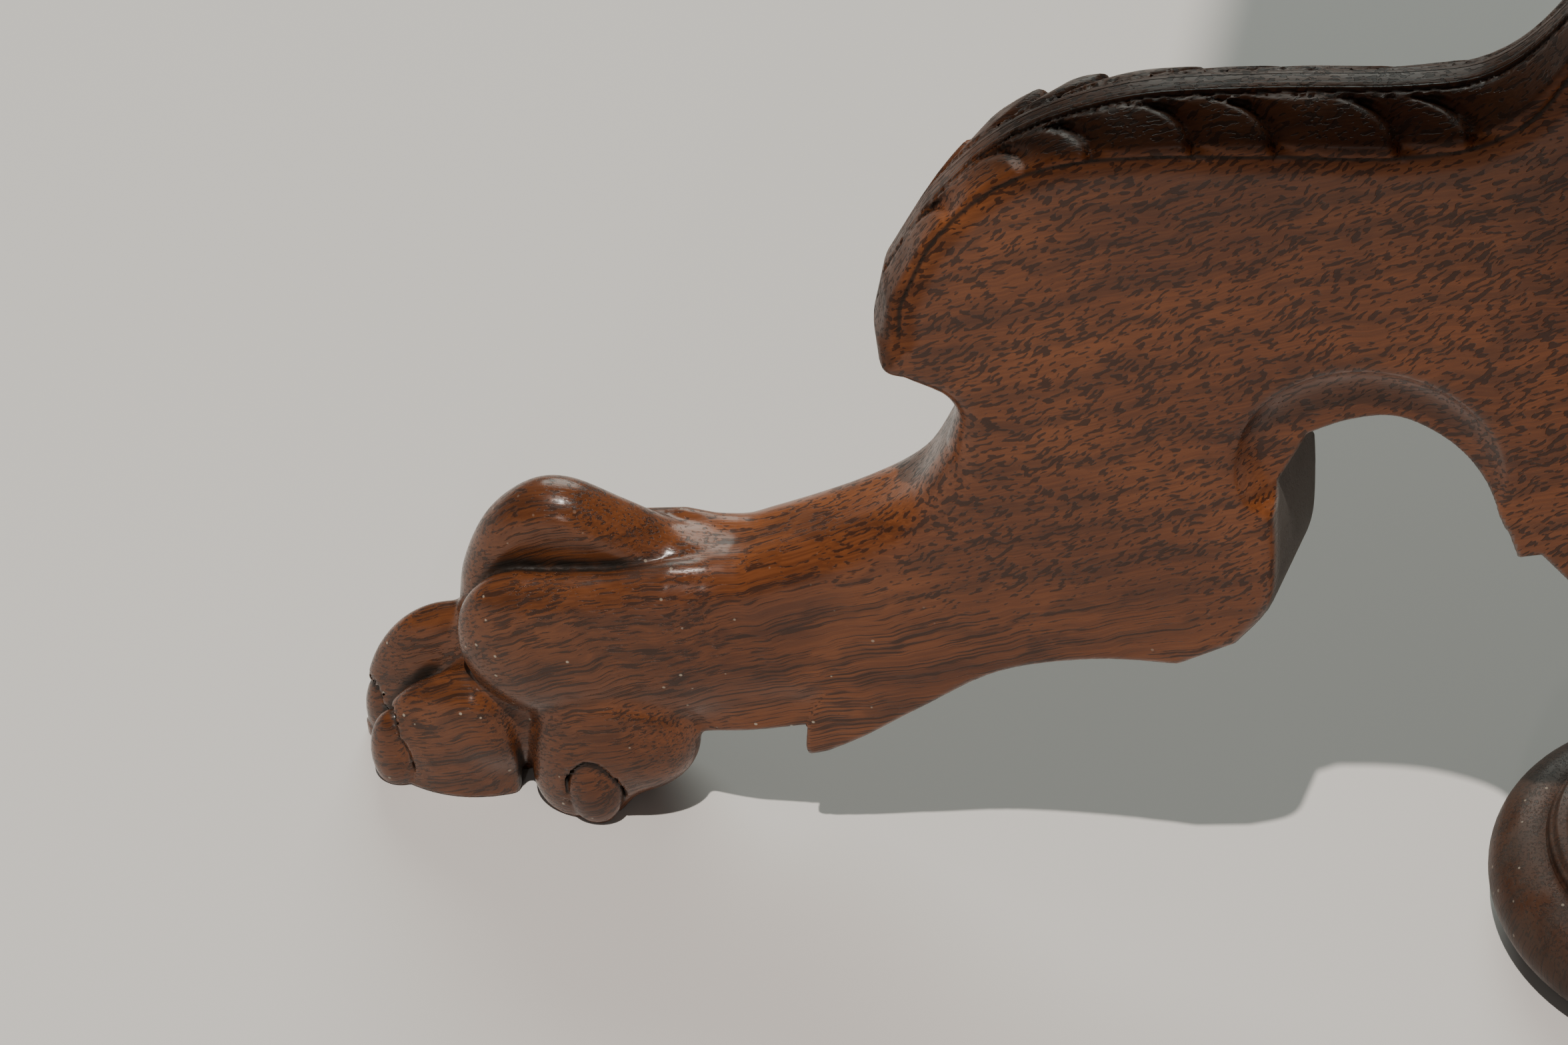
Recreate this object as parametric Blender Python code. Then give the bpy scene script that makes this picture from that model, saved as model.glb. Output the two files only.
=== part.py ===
"""Lectern stand: four carved paw legs round a turned column, a height-adjustable stem and a tilting desk.

Metres, +Z up. The origin is on the floor under the column's axis. Each leg is drawn along -X and turned into place.
"""
import math

import bmesh
import bpy
from mathutils import Matrix, Vector

MM = 0.001
GAP = 0.3                      # clearance between pieces that touch, mm
SEGMENTS = 24                  # sides of a turned piece

# Legs
LEG_T = 42.0                   # thickness of a leg
LEG_ROOT = 40.3                # distance from the axis to a leg's end grain
DOWEL_R, DOWEL_Z = 6.0, (240.0, 330.0)
DOWEL_IN, DOWEL_OUT = 21.0, 74.0
SOLE_Z = 0.0

# Column and drop
BLOCK_HALF = 40.0
BLOCK_Z0, BLOCK_Z1 = 112.0, 462.0
COLUMN_TOP = 800.0
BORE_R, BORE_Z = 18.8, 470.0
SPIGOT_R, SPIGOT_TOP = 14.0, 158.0
DROP_R, DROP_Z = 65.0, 18.0

# Stem, collar and clamp
STEM_R, STEM_Z0, STEM_Z1 = 18.4, 480.0, 930.0
LIFT = 200.0
CLAMP_Z = 786.0
SLOT_W, SLOT_FLOOR = 9.0, 15.0
SCREW_R = 4.0

# Desk
TILT_Z = 975.0                 # height of the tilting axis
DESK_TILT = 30.0               # slope of the desk at rest, degrees
DESK_W, DESK_D, DESK_T = 560.0, 420.0, 20.0
STILE_W = 62.0
DESK_N = 52.0                  # underside of the desk frame above the tilting axis
CHEEK_IN, CHEEK_OUT = 10.0, 15.0


# ---------------------------------------------------------------- helpers
def clear_scene():
    for ob in list(bpy.data.objects):
        bpy.data.objects.remove(ob, do_unlink=True)


def material(name, rgb, rough, metal=0.0):
    mat = bpy.data.materials.new(name)
    mat.use_nodes = True
    node = mat.node_tree.nodes["Principled BSDF"]
    node.inputs["Base Color"].default_value = (*rgb, 1.0)
    node.inputs["Roughness"].default_value = rough
    node.inputs["Metallic"].default_value = metal
    return mat


def finish(bm, name, smooth):
    """Turns a bmesh in millimetres into an object in metres, facing out."""
    bmesh.ops.recalc_face_normals(bm, faces=bm.faces)
    bmesh.ops.scale(bm, vec=(MM, MM, MM), verts=bm.verts)
    mesh = bpy.data.meshes.new(name)
    bm.to_mesh(mesh)
    bm.free()
    if smooth:
        mesh.shade_smooth()
        mesh.set_sharp_from_angle(angle=math.radians(38))
    ob = bpy.data.objects.new(name, mesh)
    bpy.context.scene.collection.objects.link(ob)
    return ob


def lathe(name, profile, segments=24):
    """A solid of revolution about Z. The profile starts and ends on the axis, as (radius, z)."""
    bm = bmesh.new()
    rings = []
    for r, z in profile:
        if r <= 0:
            rings.append([bm.verts.new((0, 0, z))])
        else:
            step = 2 * math.pi / segments
            rings.append([bm.verts.new((r * math.cos(i * step), r * math.sin(i * step), z))
                          for i in range(segments)])
    skin(bm, rings)
    return finish(bm, name, True)


def skin(bm, rings):
    for a, b in zip(rings, rings[1:]):
        n = max(len(a), len(b))
        for i in range(n):
            j = (i + 1) % n
            if len(a) == 1:
                bm.faces.new((a[0], b[j], b[i]))
            elif len(b) == 1:
                bm.faces.new((a[i], a[j], b[0]))
            else:
                bm.faces.new((a[i], a[j], b[j], b[i]))


def box(name, x, y, z, bevel=0.0):
    """A block between two values on each axis, with its edges eased."""
    bm = bmesh.new()
    bmesh.ops.create_cube(bm, size=1.0)
    for v in bm.verts:
        v.co = Vector([lo if c < 0 else hi for c, (lo, hi) in zip(v.co, (x, y, z))])
    if bevel:
        bmesh.ops.bevel(bm, geom=list(bm.edges), offset=bevel, segments=1, affect="EDGES",
                        profile=0.5)
    return finish(bm, name, False)


def prism(name, outline, depth):
    """An outline in X and Z, extruded evenly to both sides of Y = 0."""
    bm = bmesh.new()
    front = [bm.verts.new((x, -depth / 2, z)) for x, z in outline]
    back = [bm.verts.new((x, depth / 2, z)) for x, z in outline]
    bm.faces.new(front)
    bm.faces.new(back[::-1])
    for i in range(len(outline)):
        j = (i + 1) % len(outline)
        bm.faces.new((front[i], back[i], back[j], front[j]))
    return finish(bm, name, False)


def ellipsoid(name, centre, radii, yaw=0.0):
    bm = bmesh.new()
    bmesh.ops.create_uvsphere(bm, u_segments=12, v_segments=8, radius=1.0)
    spin = Matrix.Rotation(math.radians(yaw), 4, "Z")
    for v in bm.verts:
        v.co = spin @ Vector([c * r for c, r in zip(v.co, radii)]) + Vector(centre)
    return finish(bm, name, True)


def combine(ob, others, how):
    """Joins or cuts by Boolean, keeps the result as ob's mesh and removes the others."""
    for other in others:
        mod = ob.modifiers.new("combine", "BOOLEAN")
        mod.operation, mod.solver, mod.object = how, "EXACT", other
        graph = bpy.context.evaluated_depsgraph_get()
        mesh = bpy.data.meshes.new_from_object(ob.evaluated_get(graph))
        ob.modifiers.clear()
        ob.data = mesh
        bpy.data.objects.remove(other, do_unlink=True)
    return ob


def placed(ob, location=(0, 0, 0), turn=(0, 0, 0)):
    ob.location = [c * MM for c in location]
    ob.rotation_euler = [math.radians(a) for a in turn]
    return ob


def copy_of(ob, name):
    twin = ob.copy()
    twin.name = name
    bpy.context.scene.collection.objects.link(twin)
    return twin


def wear(ob, mat):
    ob.data.materials.clear()
    ob.data.materials.append(mat)
    for p in ob.data.polygons:
        p.material_index = 0
    return ob


def spline(points, steps):
    """A Catmull-Rom curve through open control points."""
    out = []
    ends = [points[0]] + points + [points[-1]]
    for p0, p1, p2, p3 in zip(ends, ends[1:], ends[2:], ends[3:]):
        for k in range(steps):
            t = k / steps
            out.append(tuple(
                0.5 * (2 * b + (c - a) * t + (2 * a - 5 * b + 4 * c - d) * t * t
                       + (3 * b - a - 3 * c + d) * t ** 3)
                for a, b, c, d in zip(p0, p1, p2, p3)))
    return out + [points[-1]]


def arc(cx, cz, r, start, end, steps):
    angles = [math.radians(start + (end - start) * k / steps) for k in range(steps + 1)]
    return [(cx + r * math.cos(a), cz + r * math.sin(a)) for a in angles]


# ---------------------------------------------------------------- legs
def leg_outline():
    """The leg seen from its side, as (distance from the axis, height), from the column's foot round."""
    root = [(LEG_ROOT, 130), (56, 161.5), (65, 170.5), (71.5, 168), (75.5, 178)]
    arch = spline([(76.5, 179), (84, 193), (96, 206), (111, 212.6), (125, 209.5), (138, 202), (145, 182),
                   (142, 157), (142, 134), (151, 115), (168, 104), (194, 101), (223, 90),
                   (247, 69), (265, 52), (277, 42.5)], 2)
    spur = [(283.3, 40), (284.5, 43), (284, 52.6)]
    sole = spline([(296, 47.5), (319, 39), (328, 24), (342, 6)], 2)
    paw = spline([(396, 3), (412, 12), (418, 30), (410, 50), (403, 66), (399, 87), (391, 106),
                  (378, 119.5), (364, 122.5), (347, 117), (330, 111), (316, 111.5), (305, 115),
                  (274, 134), (254, 152), (244, 174)], 2)
    notch = arc(252, 190, 11, 190, 112, 4)
    knee = spline([(256, 202), (265, 204), (269.5, 215), (266, 236), (251, 265), (229, 291),
                   (198, 309), (160, 318), (121, 324.5), (98, 333), (80, 356), (67, 386),
                   (56, 424), (48, 445), (LEG_ROOT, 453)], 2)
    return root + arch + spur + sole + paw + notch + knee


# The paw: one toe and one knuckle in the middle, and two toes and a knuckle on each side.
MIDDLE_TOES = (                # centre and half sizes, mm
    ((407, 0, 27), (32, 14, 33)),
    ((366, 0, 85), (37, 17, 37)),
)
SIDE_TOES = (                  # centre and half sizes, mm, and how far each turns outwards, degrees
    ((398, 20, 25), (30, 14, 32), 6),
    ((352, 21, 21), (31, 12, 25), 8),
    ((362, 14, 60), (38, 17, 38), 5),
)


def make_leg():
    outline = [(-u, z) for u, z in leg_outline()]
    leg = prism("leg_west", outline, LEG_T)
    toes = [ellipsoid("toe", (-u, y, z), radii) for (u, y, z), radii in MIDDLE_TOES]
    toes += [ellipsoid("toe", (-u, side * y, z), radii, -side * yaw)
             for (u, y, z), radii, yaw in SIDE_TOES for side in (-1, 1)]
    combine(leg, toes, "UNION")
    floor = box("floor", (-600, 0), (-100, 100), (-80, SOLE_Z))
    combine(leg, [floor], "DIFFERENCE")
    holes = []
    for z in DOWEL_Z:
        end = DOWEL_OUT + 1
        hole = lathe("hole", [(0, 30), (DOWEL_R + GAP, 30), (DOWEL_R + GAP, end), (0, end)], 12)
        holes.append(placed(hole, (0, 0, z), (0, -90, 0)))
    return combine(leg, holes, "DIFFERENCE")


def make_legs(wood, dowel_wood):
    west = wear(make_leg(), wood)
    dowel = lathe("leg_dowel_west_low", [(0, DOWEL_IN), (DOWEL_R - 1, DOWEL_IN),
                                         (DOWEL_R, DOWEL_IN + 1), (DOWEL_R, DOWEL_OUT - 1),
                                         (DOWEL_R - 1, DOWEL_OUT), (0, DOWEL_OUT)], 12)
    wear(dowel, dowel_wood)
    for k, side in enumerate(("west", "south", "east", "north")):
        leg = west if k == 0 else copy_of(west, "leg_" + side)
        placed(leg, turn=(0, 0, 90 * k))
        for z, level in zip(DOWEL_Z, ("low", "high")):
            name = "leg_dowel_%s_%s" % (side, level)
            peg = dowel if name == dowel.name else copy_of(dowel, name)
            placed(peg, (0, 0, z), (0, -90, 90 * k))


# ---------------------------------------------------------------- column and drop
def block_ring(bm, half, z, segments):
    """A ring that follows a square with cut corners, with the same count of points as a round one."""
    ring = []
    for i in range(segments):
        a = 2 * math.pi * i / segments
        c, s = math.cos(a), math.sin(a)
        r = min(half / max(abs(c), abs(s)), (2 * half - 5) / (abs(c) + abs(s)))
        ring.append(bm.verts.new((r * c, r * s, z)))
    return ring


def column_profile():
    low = [(SPIGOT_R + GAP, SPIGOT_TOP + 2), (SPIGOT_R + GAP, BLOCK_Z0)]
    ring = [(49, 463), (53, 468), (54, 474), (53, 480), (49, 485), (43, 486)]
    vase = spline([(37, 492), (36, 502), (43, 530), (49, 562), (47, 596), (39, 640), (33, 690),
                   (31, 722)], 1)
    neck = [(36, 724), (40, 729), (40, 735), (36, 740), (32.5, 742), (32, 748), (29, 752),
            (29, COLUMN_TOP)]
    bore = [(BORE_R, COLUMN_TOP), (BORE_R, BORE_Z)]
    return low, ring + vase + neck, bore


def make_column(wood):
    low, outer, bore = column_profile()
    segments = SEGMENTS
    bm = bmesh.new()

    def circle(r, z):
        return [bm.verts.new((r * math.cos(2 * math.pi * i / segments),
                              r * math.sin(2 * math.pi * i / segments), z))
                for i in range(segments)]

    rings = [[bm.verts.new((0, 0, SPIGOT_TOP + 2))]] + [circle(r, z) for r, z in low]
    rings += [block_ring(bm, BLOCK_HALF - 2, BLOCK_Z0, segments),
              block_ring(bm, BLOCK_HALF, BLOCK_Z0 + 2, segments),
              block_ring(bm, BLOCK_HALF, BLOCK_Z1, segments)]
    rings += [circle(r, z) for r, z in outer + bore] + [[bm.verts.new((0, 0, BORE_Z))]]
    skin(bm, rings)
    column = finish(bm, "column", True)
    holes = []
    for k in range(4):
        for z in DOWEL_Z:
            hole = lathe("hole", [(0, DOWEL_IN - 1), (DOWEL_R + GAP, DOWEL_IN - 1),
                                  (DOWEL_R + GAP, 60), (0, 60)], 12)
            holes.append(placed(hole, (0, 0, z), (0, -90, 90 * k)))
    screw = lathe("hole", [(0, 10), (SCREW_R + GAP, 10), (SCREW_R + GAP, 60), (0, 60)], 16)
    holes.append(placed(screw, (0, 0, CLAMP_Z), (90, 0, 0)))
    return wear(combine(column, holes, "DIFFERENCE"), wood)


def make_drop(wood):
    """The turned drop under the column: a broad torus, a groove, a bead and a waist."""
    torus = [(DROP_R - 15 + 15 * math.cos(a), DROP_Z + 14.5 * math.sin(a))
             for a in (math.radians(-75 + 165 * k / 8) for k in range(9))]
    bead = [(47.5, 31), (47, 35), (45.5, 38.5), (42, 40)]
    waist = spline([(40, 40), (32, 46), (27, 58), (27, 74), (33, 92), (37, 100)], 2)
    top = [(38, 104), (38, BLOCK_Z0 - GAP), (SPIGOT_R, BLOCK_Z0 - GAP),
           (SPIGOT_R, SPIGOT_TOP - 1), (SPIGOT_R - 1, SPIGOT_TOP), (0, SPIGOT_TOP)]
    profile = [(0, 6), (30, 5), (46, 4)] + torus + bead + waist + top
    return wear(lathe("base_drop", profile, SEGMENTS), wood)


# ---------------------------------------------------------------- stem, collar, clamp
def make_stem(wood):
    stem = lathe("stem", [(0, STEM_Z0), (STEM_R - 2, STEM_Z0), (STEM_R, STEM_Z0 + 2),
                          (STEM_R, STEM_Z1 - 1), (STEM_R - 1, STEM_Z1), (0, STEM_Z1)], SEGMENTS)
    slot = box("slot", (-SLOT_W / 2, SLOT_W / 2), (-30, -SLOT_FLOOR),
               (CLAMP_Z - LIFT - 6, CLAMP_Z + 6))
    pin = lathe("pin", [(0, -40), (3 + GAP, -40), (3 + GAP, 40), (0, 40)], 16)
    placed(pin, (0, 0, STEM_Z1 - 16), (0, 90, 0))
    return wear(combine(stem, [slot, pin], "DIFFERENCE"), wood)


def make_collar(brass):
    inner, top = 29 + GAP, COLUMN_TOP + GAP
    collar = lathe_ring("collar", [(inner, 770), (33, 770), (34.5, 772), (34.5, 776), (33, 778),
                                   (33, 796), (34.5, 798), (34.5, 803), (32, 806),
                                   (24, 808), (STEM_R + GAP, 808), (STEM_R + GAP, top),
                                   (inner, top)])
    hole = lathe("hole", [(0, 20), (SCREW_R + GAP, 20), (SCREW_R + GAP, 50), (0, 50)], 16)
    placed(hole, (0, 0, CLAMP_Z), (90, 0, 0))
    return wear(combine(collar, [hole], "DIFFERENCE"), brass)


def lathe_ring(name, section, segments=24):
    """A ring with an open middle: a closed section turned about Z."""
    bm = bmesh.new()
    loops = [[bm.verts.new((r * math.cos(2 * math.pi * i / segments),
                            r * math.sin(2 * math.pi * i / segments), z))
              for i in range(segments)] for r, z in section]
    skin(bm, loops + loops[:1])
    return finish(bm, name, True)


def make_clamp_screw(brass):
    """A thumbscrew with a turned head, drawn along Z and pointed at the stem."""
    screw = lathe("clamp_screw", [(0, SLOT_FLOOR + GAP), (3, SLOT_FLOOR + GAP), (SCREW_R, 16.5),
                                  (SCREW_R, 36), (7, 36.5), (8, 39), (6, 42), (6, 45), (12, 47),
                                  (15, 50), (15, 56), (12, 59), (6, 60.5), (0, 61)], 24)
    return wear(placed(screw, (0, 0, CLAMP_Z), (90, 0, 0)), brass)


def make_yoke(brass):
    """The brass fork on the stem's top: a cup, a neck plate and two cheeks."""
    cup = lathe("yoke", [(0, STEM_Z1 + GAP), (STEM_R + GAP, STEM_Z1 + GAP),
                         (STEM_R + GAP, 896), (22, 896), (23.5, 898), (23.5, 902), (22, 904),
                         (22, 930), (24, 932), (24, 937), (22, 939), (0, 939)], SEGMENTS)
    cheeks = []
    for side in (-1, 1):
        x = sorted((side * CHEEK_IN, side * CHEEK_OUT))
        rise = [(-14, 937), (14, 937)] + arc(0, TILT_Z, 14, 0, 180, 10)
        cheek = prism("cheek", [(a, z) for a, z in rise], CHEEK_OUT - CHEEK_IN)
        placed(cheek, (sum(x) / 2, 0, 0), (0, 0, 90))
        cheeks.append(cheek)
    combine(cup, cheeks, "UNION")
    bolt = lathe("bolt", [(0, -40), (SCREW_R + GAP, -40), (SCREW_R + GAP, 40), (0, 40)], 16)
    placed(bolt, (0, 0, TILT_Z), (0, 90, 0))
    pin = lathe("pin", [(0, -40), (3 + GAP, -40), (3 + GAP, 40), (0, 40)], 16)
    placed(pin, (0, 0, STEM_Z1 - 16), (0, 90, 0))
    return wear(combine(cup, [bolt, pin], "DIFFERENCE"), brass)


def make_yoke_pin(brass):
    pin = lathe("yoke_pin", [(0, -23), (2.5, -23), (3, -22.5), (3, 22.5), (2.5, 23), (0, 23)], 12)
    return wear(placed(pin, (0, 0, STEM_Z1 - 16), (0, 90, 0)), brass)


# ---------------------------------------------------------------- tilting parts
def tilted(ob):
    """Puts a piece drawn in the desk's own frame onto the tilting axis."""
    return placed(ob, (0, 0, TILT_Z), (DESK_TILT, 0, 0))


SCREW_XY = [(x, y) for x in (-34, 34) for y in (-22, 22)]
PLATE_N0, PLATE_N1 = 23.0, 28.0          # the lug's plate
BLOCK_N0, BLOCK_N1 = 28.3, DESK_N - GAP  # the wooden block above it


def make_lug(brass):
    half = CHEEK_IN - GAP
    tongue_line = arc(0, 0, 12.5, 180, 360, 10) + [(12.5, 25), (-12.5, 25)]
    tongue = prism("tongue", tongue_line, 2 * half)
    placed(tongue, (0, 0, 0), (0, 0, 90))
    plate = box("tilt_lug", (-45, 45), (-32, 32), (PLATE_N0, PLATE_N1), 1.0)
    combine(plate, [tongue], "UNION")
    bolt = lathe("bolt", [(0, -40), (SCREW_R + GAP, -40), (SCREW_R + GAP, 40), (0, 40)], 16)
    placed(bolt, (0, 0, 0), (0, 90, 0))
    holes = [bolt]
    for x, y in SCREW_XY:
        hole = lathe("hole", [(0, 20), (5 + GAP, 20), (5 + GAP, PLATE_N0), (2.5 + GAP, PLATE_N0 + 3),
                              (2.5 + GAP, 32), (0, 32)], 12)
        holes.append(placed(hole, (x, y, 0)))
    return wear(tilted(combine(plate, holes, "DIFFERENCE")), brass)


def make_lug_screws(steel):
    base = None
    for k, (x, y) in enumerate(SCREW_XY):
        name = "lug_screw_%d" % (k + 1)
        if base is None:
            base = lathe(name, [(0, PLATE_N0), (4.8, PLATE_N0), (2.5, PLATE_N0 + 2.8), (2.5, 42),
                                (0, 45)], 12)
            wear(base, steel)
        screw = base if k == 0 else copy_of(base, name)
        tilted(screw)
        turn = Matrix.Rotation(math.radians(DESK_TILT), 3, "X")
        screw.location = Vector((0, 0, TILT_Z * MM)) + turn @ Vector((x * MM, y * MM, 0))


def make_block(wood):
    block = box("mount_block", (-74, 74), (-60, 60), (BLOCK_N0, BLOCK_N1), 2.0)
    holes = []
    for x, y in SCREW_XY:
        hole = lathe("hole", [(0, 20), (2.5 + GAP, 20), (2.5 + GAP, 42.5), (0, 46)], 12)
        holes.append(placed(hole, (x, y, 0)))
    return wear(tilted(combine(block, holes, "DIFFERENCE")), wood)


def make_bolt(steel):
    """The bolt across the fork, its head on the -X side."""
    bolt = lathe("tilt_bolt", [(0, -22), (5, -22), (7.5, -20.5), (8, -18), (8, -17.3),
                               (SCREW_R, -17.3), (SCREW_R, 31), (SCREW_R - 0.8, 32), (0, 32)], 24)
    wear(placed(bolt, (0, 0, TILT_Z), (0, 90, 0)), steel)
    for name, x in (("tilt_washer_left", -17.0), ("tilt_washer_right", CHEEK_OUT + GAP)):
        washer = lathe_ring(name, [(SCREW_R + GAP, x), (10, x), (10, x + 1.7 - GAP),
                                   (SCREW_R + GAP, x + 1.7 - GAP)], 24)
        wear(placed(washer, (0, 0, TILT_Z), (0, 90, 0)), steel)


def make_tilt_knob(brass):
    knob = lathe_ring("tilt_knob", [(SCREW_R + GAP, 17.3), (9, 17.3), (10, 18.5), (8, 21), (8, 23),
                                    (14, 25), (17, 28), (17, 34), (14, 37), (8, 38.5),
                                    (SCREW_R + GAP, 38.5)], 24)
    return wear(placed(knob, (0, 0, TILT_Z), (0, 90, 0)), brass)


def make_desk(wood, panel_wood):
    """A framed board: stiles with mortises, rails with tenons, a panel, battens and a ledge."""
    n0, n1 = DESK_N, DESK_N + DESK_T
    half_w, half_d, inner = DESK_W / 2, DESK_D / 2, DESK_W / 2 - STILE_W
    mid = (n0 + n1) / 2
    for side, name in ((-1, "stile_left"), (1, "stile_right")):
        x = sorted((side * inner, side * half_w))
        stile = box(name, x, (-half_d, half_d), (n0, n1), 3.0)
        slots = [box("slot", sorted((side * (inner - 5), side * (inner + 40 + GAP))),
                     (end * (half_d - 31) - 20 - GAP, end * (half_d - 31) + 20 + GAP),
                     (mid - 3.5 - GAP, mid + 3.5 + GAP)) for end in (-1, 1)]
        wear(tilted(combine(stile, slots, "DIFFERENCE")), wood)
    for end, name in ((-1, "rail_bottom"), (1, "rail_top")):
        y = sorted((end * (half_d - STILE_W), end * half_d))
        rail = box(name, (-inner + GAP, inner - GAP), y, (n0, n1), 2.0)
        tenon = box("tenon", (-inner - 40, inner + 40),
                    (end * (half_d - 31) - 20, end * (half_d - 31) + 20), (mid - 3.5, mid + 3.5))
        wear(tilted(combine(rail, [tenon], "UNION")), wood)
    deep = half_d - STILE_W - GAP
    panel = box("panel", (-inner + GAP, inner - GAP), (-deep, deep), (n0 + 2, n1 - 2), 1.5)
    wear(tilted(panel), panel_wood)
    for side, name in ((-1, "batten_left"), (1, "batten_right")):
        x = sorted((side * 76, side * 112))
        batten = box(name, x, (-half_d + 20, half_d - 20), (BLOCK_N0 + 3, DESK_N - GAP), 3.0)
        wear(tilted(batten), wood)
    ledge = box("ledge", (-half_w + 8, half_w - 8), (-half_d + 2, -half_d + 22),
                (n1 + GAP, n1 + 27), 4.0)
    wear(tilted(ledge), wood)


# ---------------------------------------------------------------- build
def main():
    clear_scene()
    wood = material("mahogany", (0.22, 0.075, 0.032), 0.38)
    dark = material("mahogany_dark", (0.12, 0.042, 0.022), 0.35)
    beech = material("beech", (0.52, 0.34, 0.2), 0.6)
    brass = material("aged_brass", (0.55, 0.38, 0.16), 0.32, 1.0)
    steel = material("steel", (0.42, 0.41, 0.4), 0.35, 1.0)
    make_legs(wood, beech)
    make_column(dark)
    make_drop(dark)
    make_stem(dark)
    make_collar(brass)
    make_clamp_screw(brass)
    make_yoke(brass)
    make_yoke_pin(steel)
    make_lug(brass)
    make_lug_screws(steel)
    make_block(wood)
    make_bolt(steel)
    make_tilt_knob(brass)
    make_desk(wood, wood)


main()
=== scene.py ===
"""Looks of the lectern stand: carved legs, turned column and drop, brass fittings and a framed desk.

Shapes are drawn in millimetres and turned into metres when a mesh is made.
"""
import math

import bmesh
import bpy
import numpy as np
from mathutils import Euler, Matrix, Vector


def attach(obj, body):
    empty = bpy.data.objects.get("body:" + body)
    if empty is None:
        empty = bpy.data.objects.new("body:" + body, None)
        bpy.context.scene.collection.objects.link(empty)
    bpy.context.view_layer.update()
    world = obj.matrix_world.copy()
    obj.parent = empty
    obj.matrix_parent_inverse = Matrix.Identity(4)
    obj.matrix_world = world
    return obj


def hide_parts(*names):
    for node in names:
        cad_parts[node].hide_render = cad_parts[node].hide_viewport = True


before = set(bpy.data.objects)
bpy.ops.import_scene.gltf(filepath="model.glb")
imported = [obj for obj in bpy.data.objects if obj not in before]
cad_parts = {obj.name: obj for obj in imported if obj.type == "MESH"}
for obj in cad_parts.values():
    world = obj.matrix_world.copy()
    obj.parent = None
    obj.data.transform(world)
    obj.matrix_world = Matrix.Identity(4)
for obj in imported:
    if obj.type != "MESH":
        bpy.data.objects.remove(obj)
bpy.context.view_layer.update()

MM = 0.001

# Leg, in the leg's own frame: u is the distance out from the axis, y is across, z is up
LEG_T = 42.0
LEG_ROOT = 40.3
STEP = 1.15                    # grid step of the sculpted leg
GRID_U, GRID_Y, GRID_Z = 446, (-36, 37), 458           # how far that grid reaches
COVE_U, COVE_Z, COVE_R = 117.5, 194.0, 40.0
COVE_DEEP, COVE_WIDE = 5.6, 15.0
MAP_STEP = 0.8                 # grid step of the flat maps of the outline
MAP_FROM_U, MAP_TO_U, MAP_FROM_Z, MAP_TO_Z = 30.0, 456, -12.0, 470
SIDES_OF_STAND = ("west", "south", "east", "north")

# Column, stem and fittings
TILT_Z, DESK_TILT = 975.0, 30.0
STEM_R, STEM_Z0, STEM_Z1 = 18.4, 480.0, 930.0
BORE_R, BORE_Z = 18.8, 470.0
COLUMN_TOP, CLAMP_Z = 800.0, 786.0
BLOCK_HALF, BLOCK_CHAMFER = 40.0, 5.0
DOWEL_Z = (("low", 240.0), ("high", 330.0))
YOKE_PIN_Z = 914.0
SCREW_R, PIN_HOLE_R, GAP = 4.0, 3.3, 0.3
CHEEKS_X = ((-15, -10), (10, 15))
SIDES = 96                     # facets round a turned piece
FLUTE_DEPTH = 0.9

# Desk, in its own tilted frame: x across, v up the slope, n out of it
DESK_W, DESK_D, STILE_W = 560.0, 420.0, 62.0
DESK_N0, DESK_N1 = 52.0, 72.0
SCREW_XY = ((-34, -22), (34, -22), (-34, 22), (34, 22))
PLATE_X, PLATE_V, PLATE_N = (-45, 45), (-32, 32), (23, 28)     # the lug's plate
LUG_R, LUG_HALF = 12.5, 9.7                                    # its tongue
BLOCK_X, BLOCK_V, BLOCK_N = (-74, 74), (-60, 60), (28.3, 51.7)
BATTEN_X, BATTEN_N, BATTEN_SHORTER = (76, 112), 31.3, 20

# Camera
LOOK_AT = Vector((-0.2914, -0.021, 0.1426))
CAMERA_AZIMUTH, CAMERA_DOWN, CAMERA_DISTANCE = 11.0, 44.0, 1.3228
FOCAL_PX, IMAGE_W = 6500.0, 2352.0

# Lights: name, place, what it is turned to, width in metres, power in watts, colour
LIGHTS = (
    ("window", (-0.9, 3.0, 2.1), (-0.2, 0, 0.2), 2.6, 84, (0.90, 1.0, 0.94)),
    ("ceiling", (-0.40, -0.76, 2.7), (-0.25, 0, 0.1), 0.05, 84, (1.0, 0.93, 0.86)),
    ("front", (-0.45, -2.3, 0.85), (-0.3, 0, 0.1), 0.15, 4, (1.0, 0.96, 0.9)),
)
SKY_STRENGTH = 0.14


# -------- numbers
def smooth(lo, hi, x):
    t = np.clip((x - lo) / (hi - lo), 0.0, 1.0)
    return t * t * (3.0 - 2.0 * t)


def spline(points, steps):
    """A Catmull-Rom curve through open control points."""
    out = []
    ends = [points[0]] + points + [points[-1]]
    for p0, p1, p2, p3 in zip(ends, ends[1:], ends[2:], ends[3:]):
        for k in range(steps):
            t = k / steps
            out.append(tuple(
                0.5 * (2 * b + (c - a) * t + (2 * a - 5 * b + 4 * c - d) * t * t
                       + (3 * b - a - 3 * c + d) * t ** 3)
                for a, b, c, d in zip(p0, p1, p2, p3)))
    return out + [points[-1]]


def arc(cx, cz, r, start, end, steps):
    angles = [math.radians(start + (end - start) * k / steps) for k in range(steps + 1)]
    return [(cx + r * math.cos(a), cz + r * math.sin(a)) for a in angles]


def soft_min(a, b, k):
    """The nearer of two distances, with the crease between them filled over a width k."""
    h = np.clip(0.5 + 0.5 * (b - a) / k, 0.0, 1.0)
    return b + (a - b) * h - k * h * (1.0 - h)


def soft_max(a, b, k):
    return -soft_min(-a, -b, k)


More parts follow.
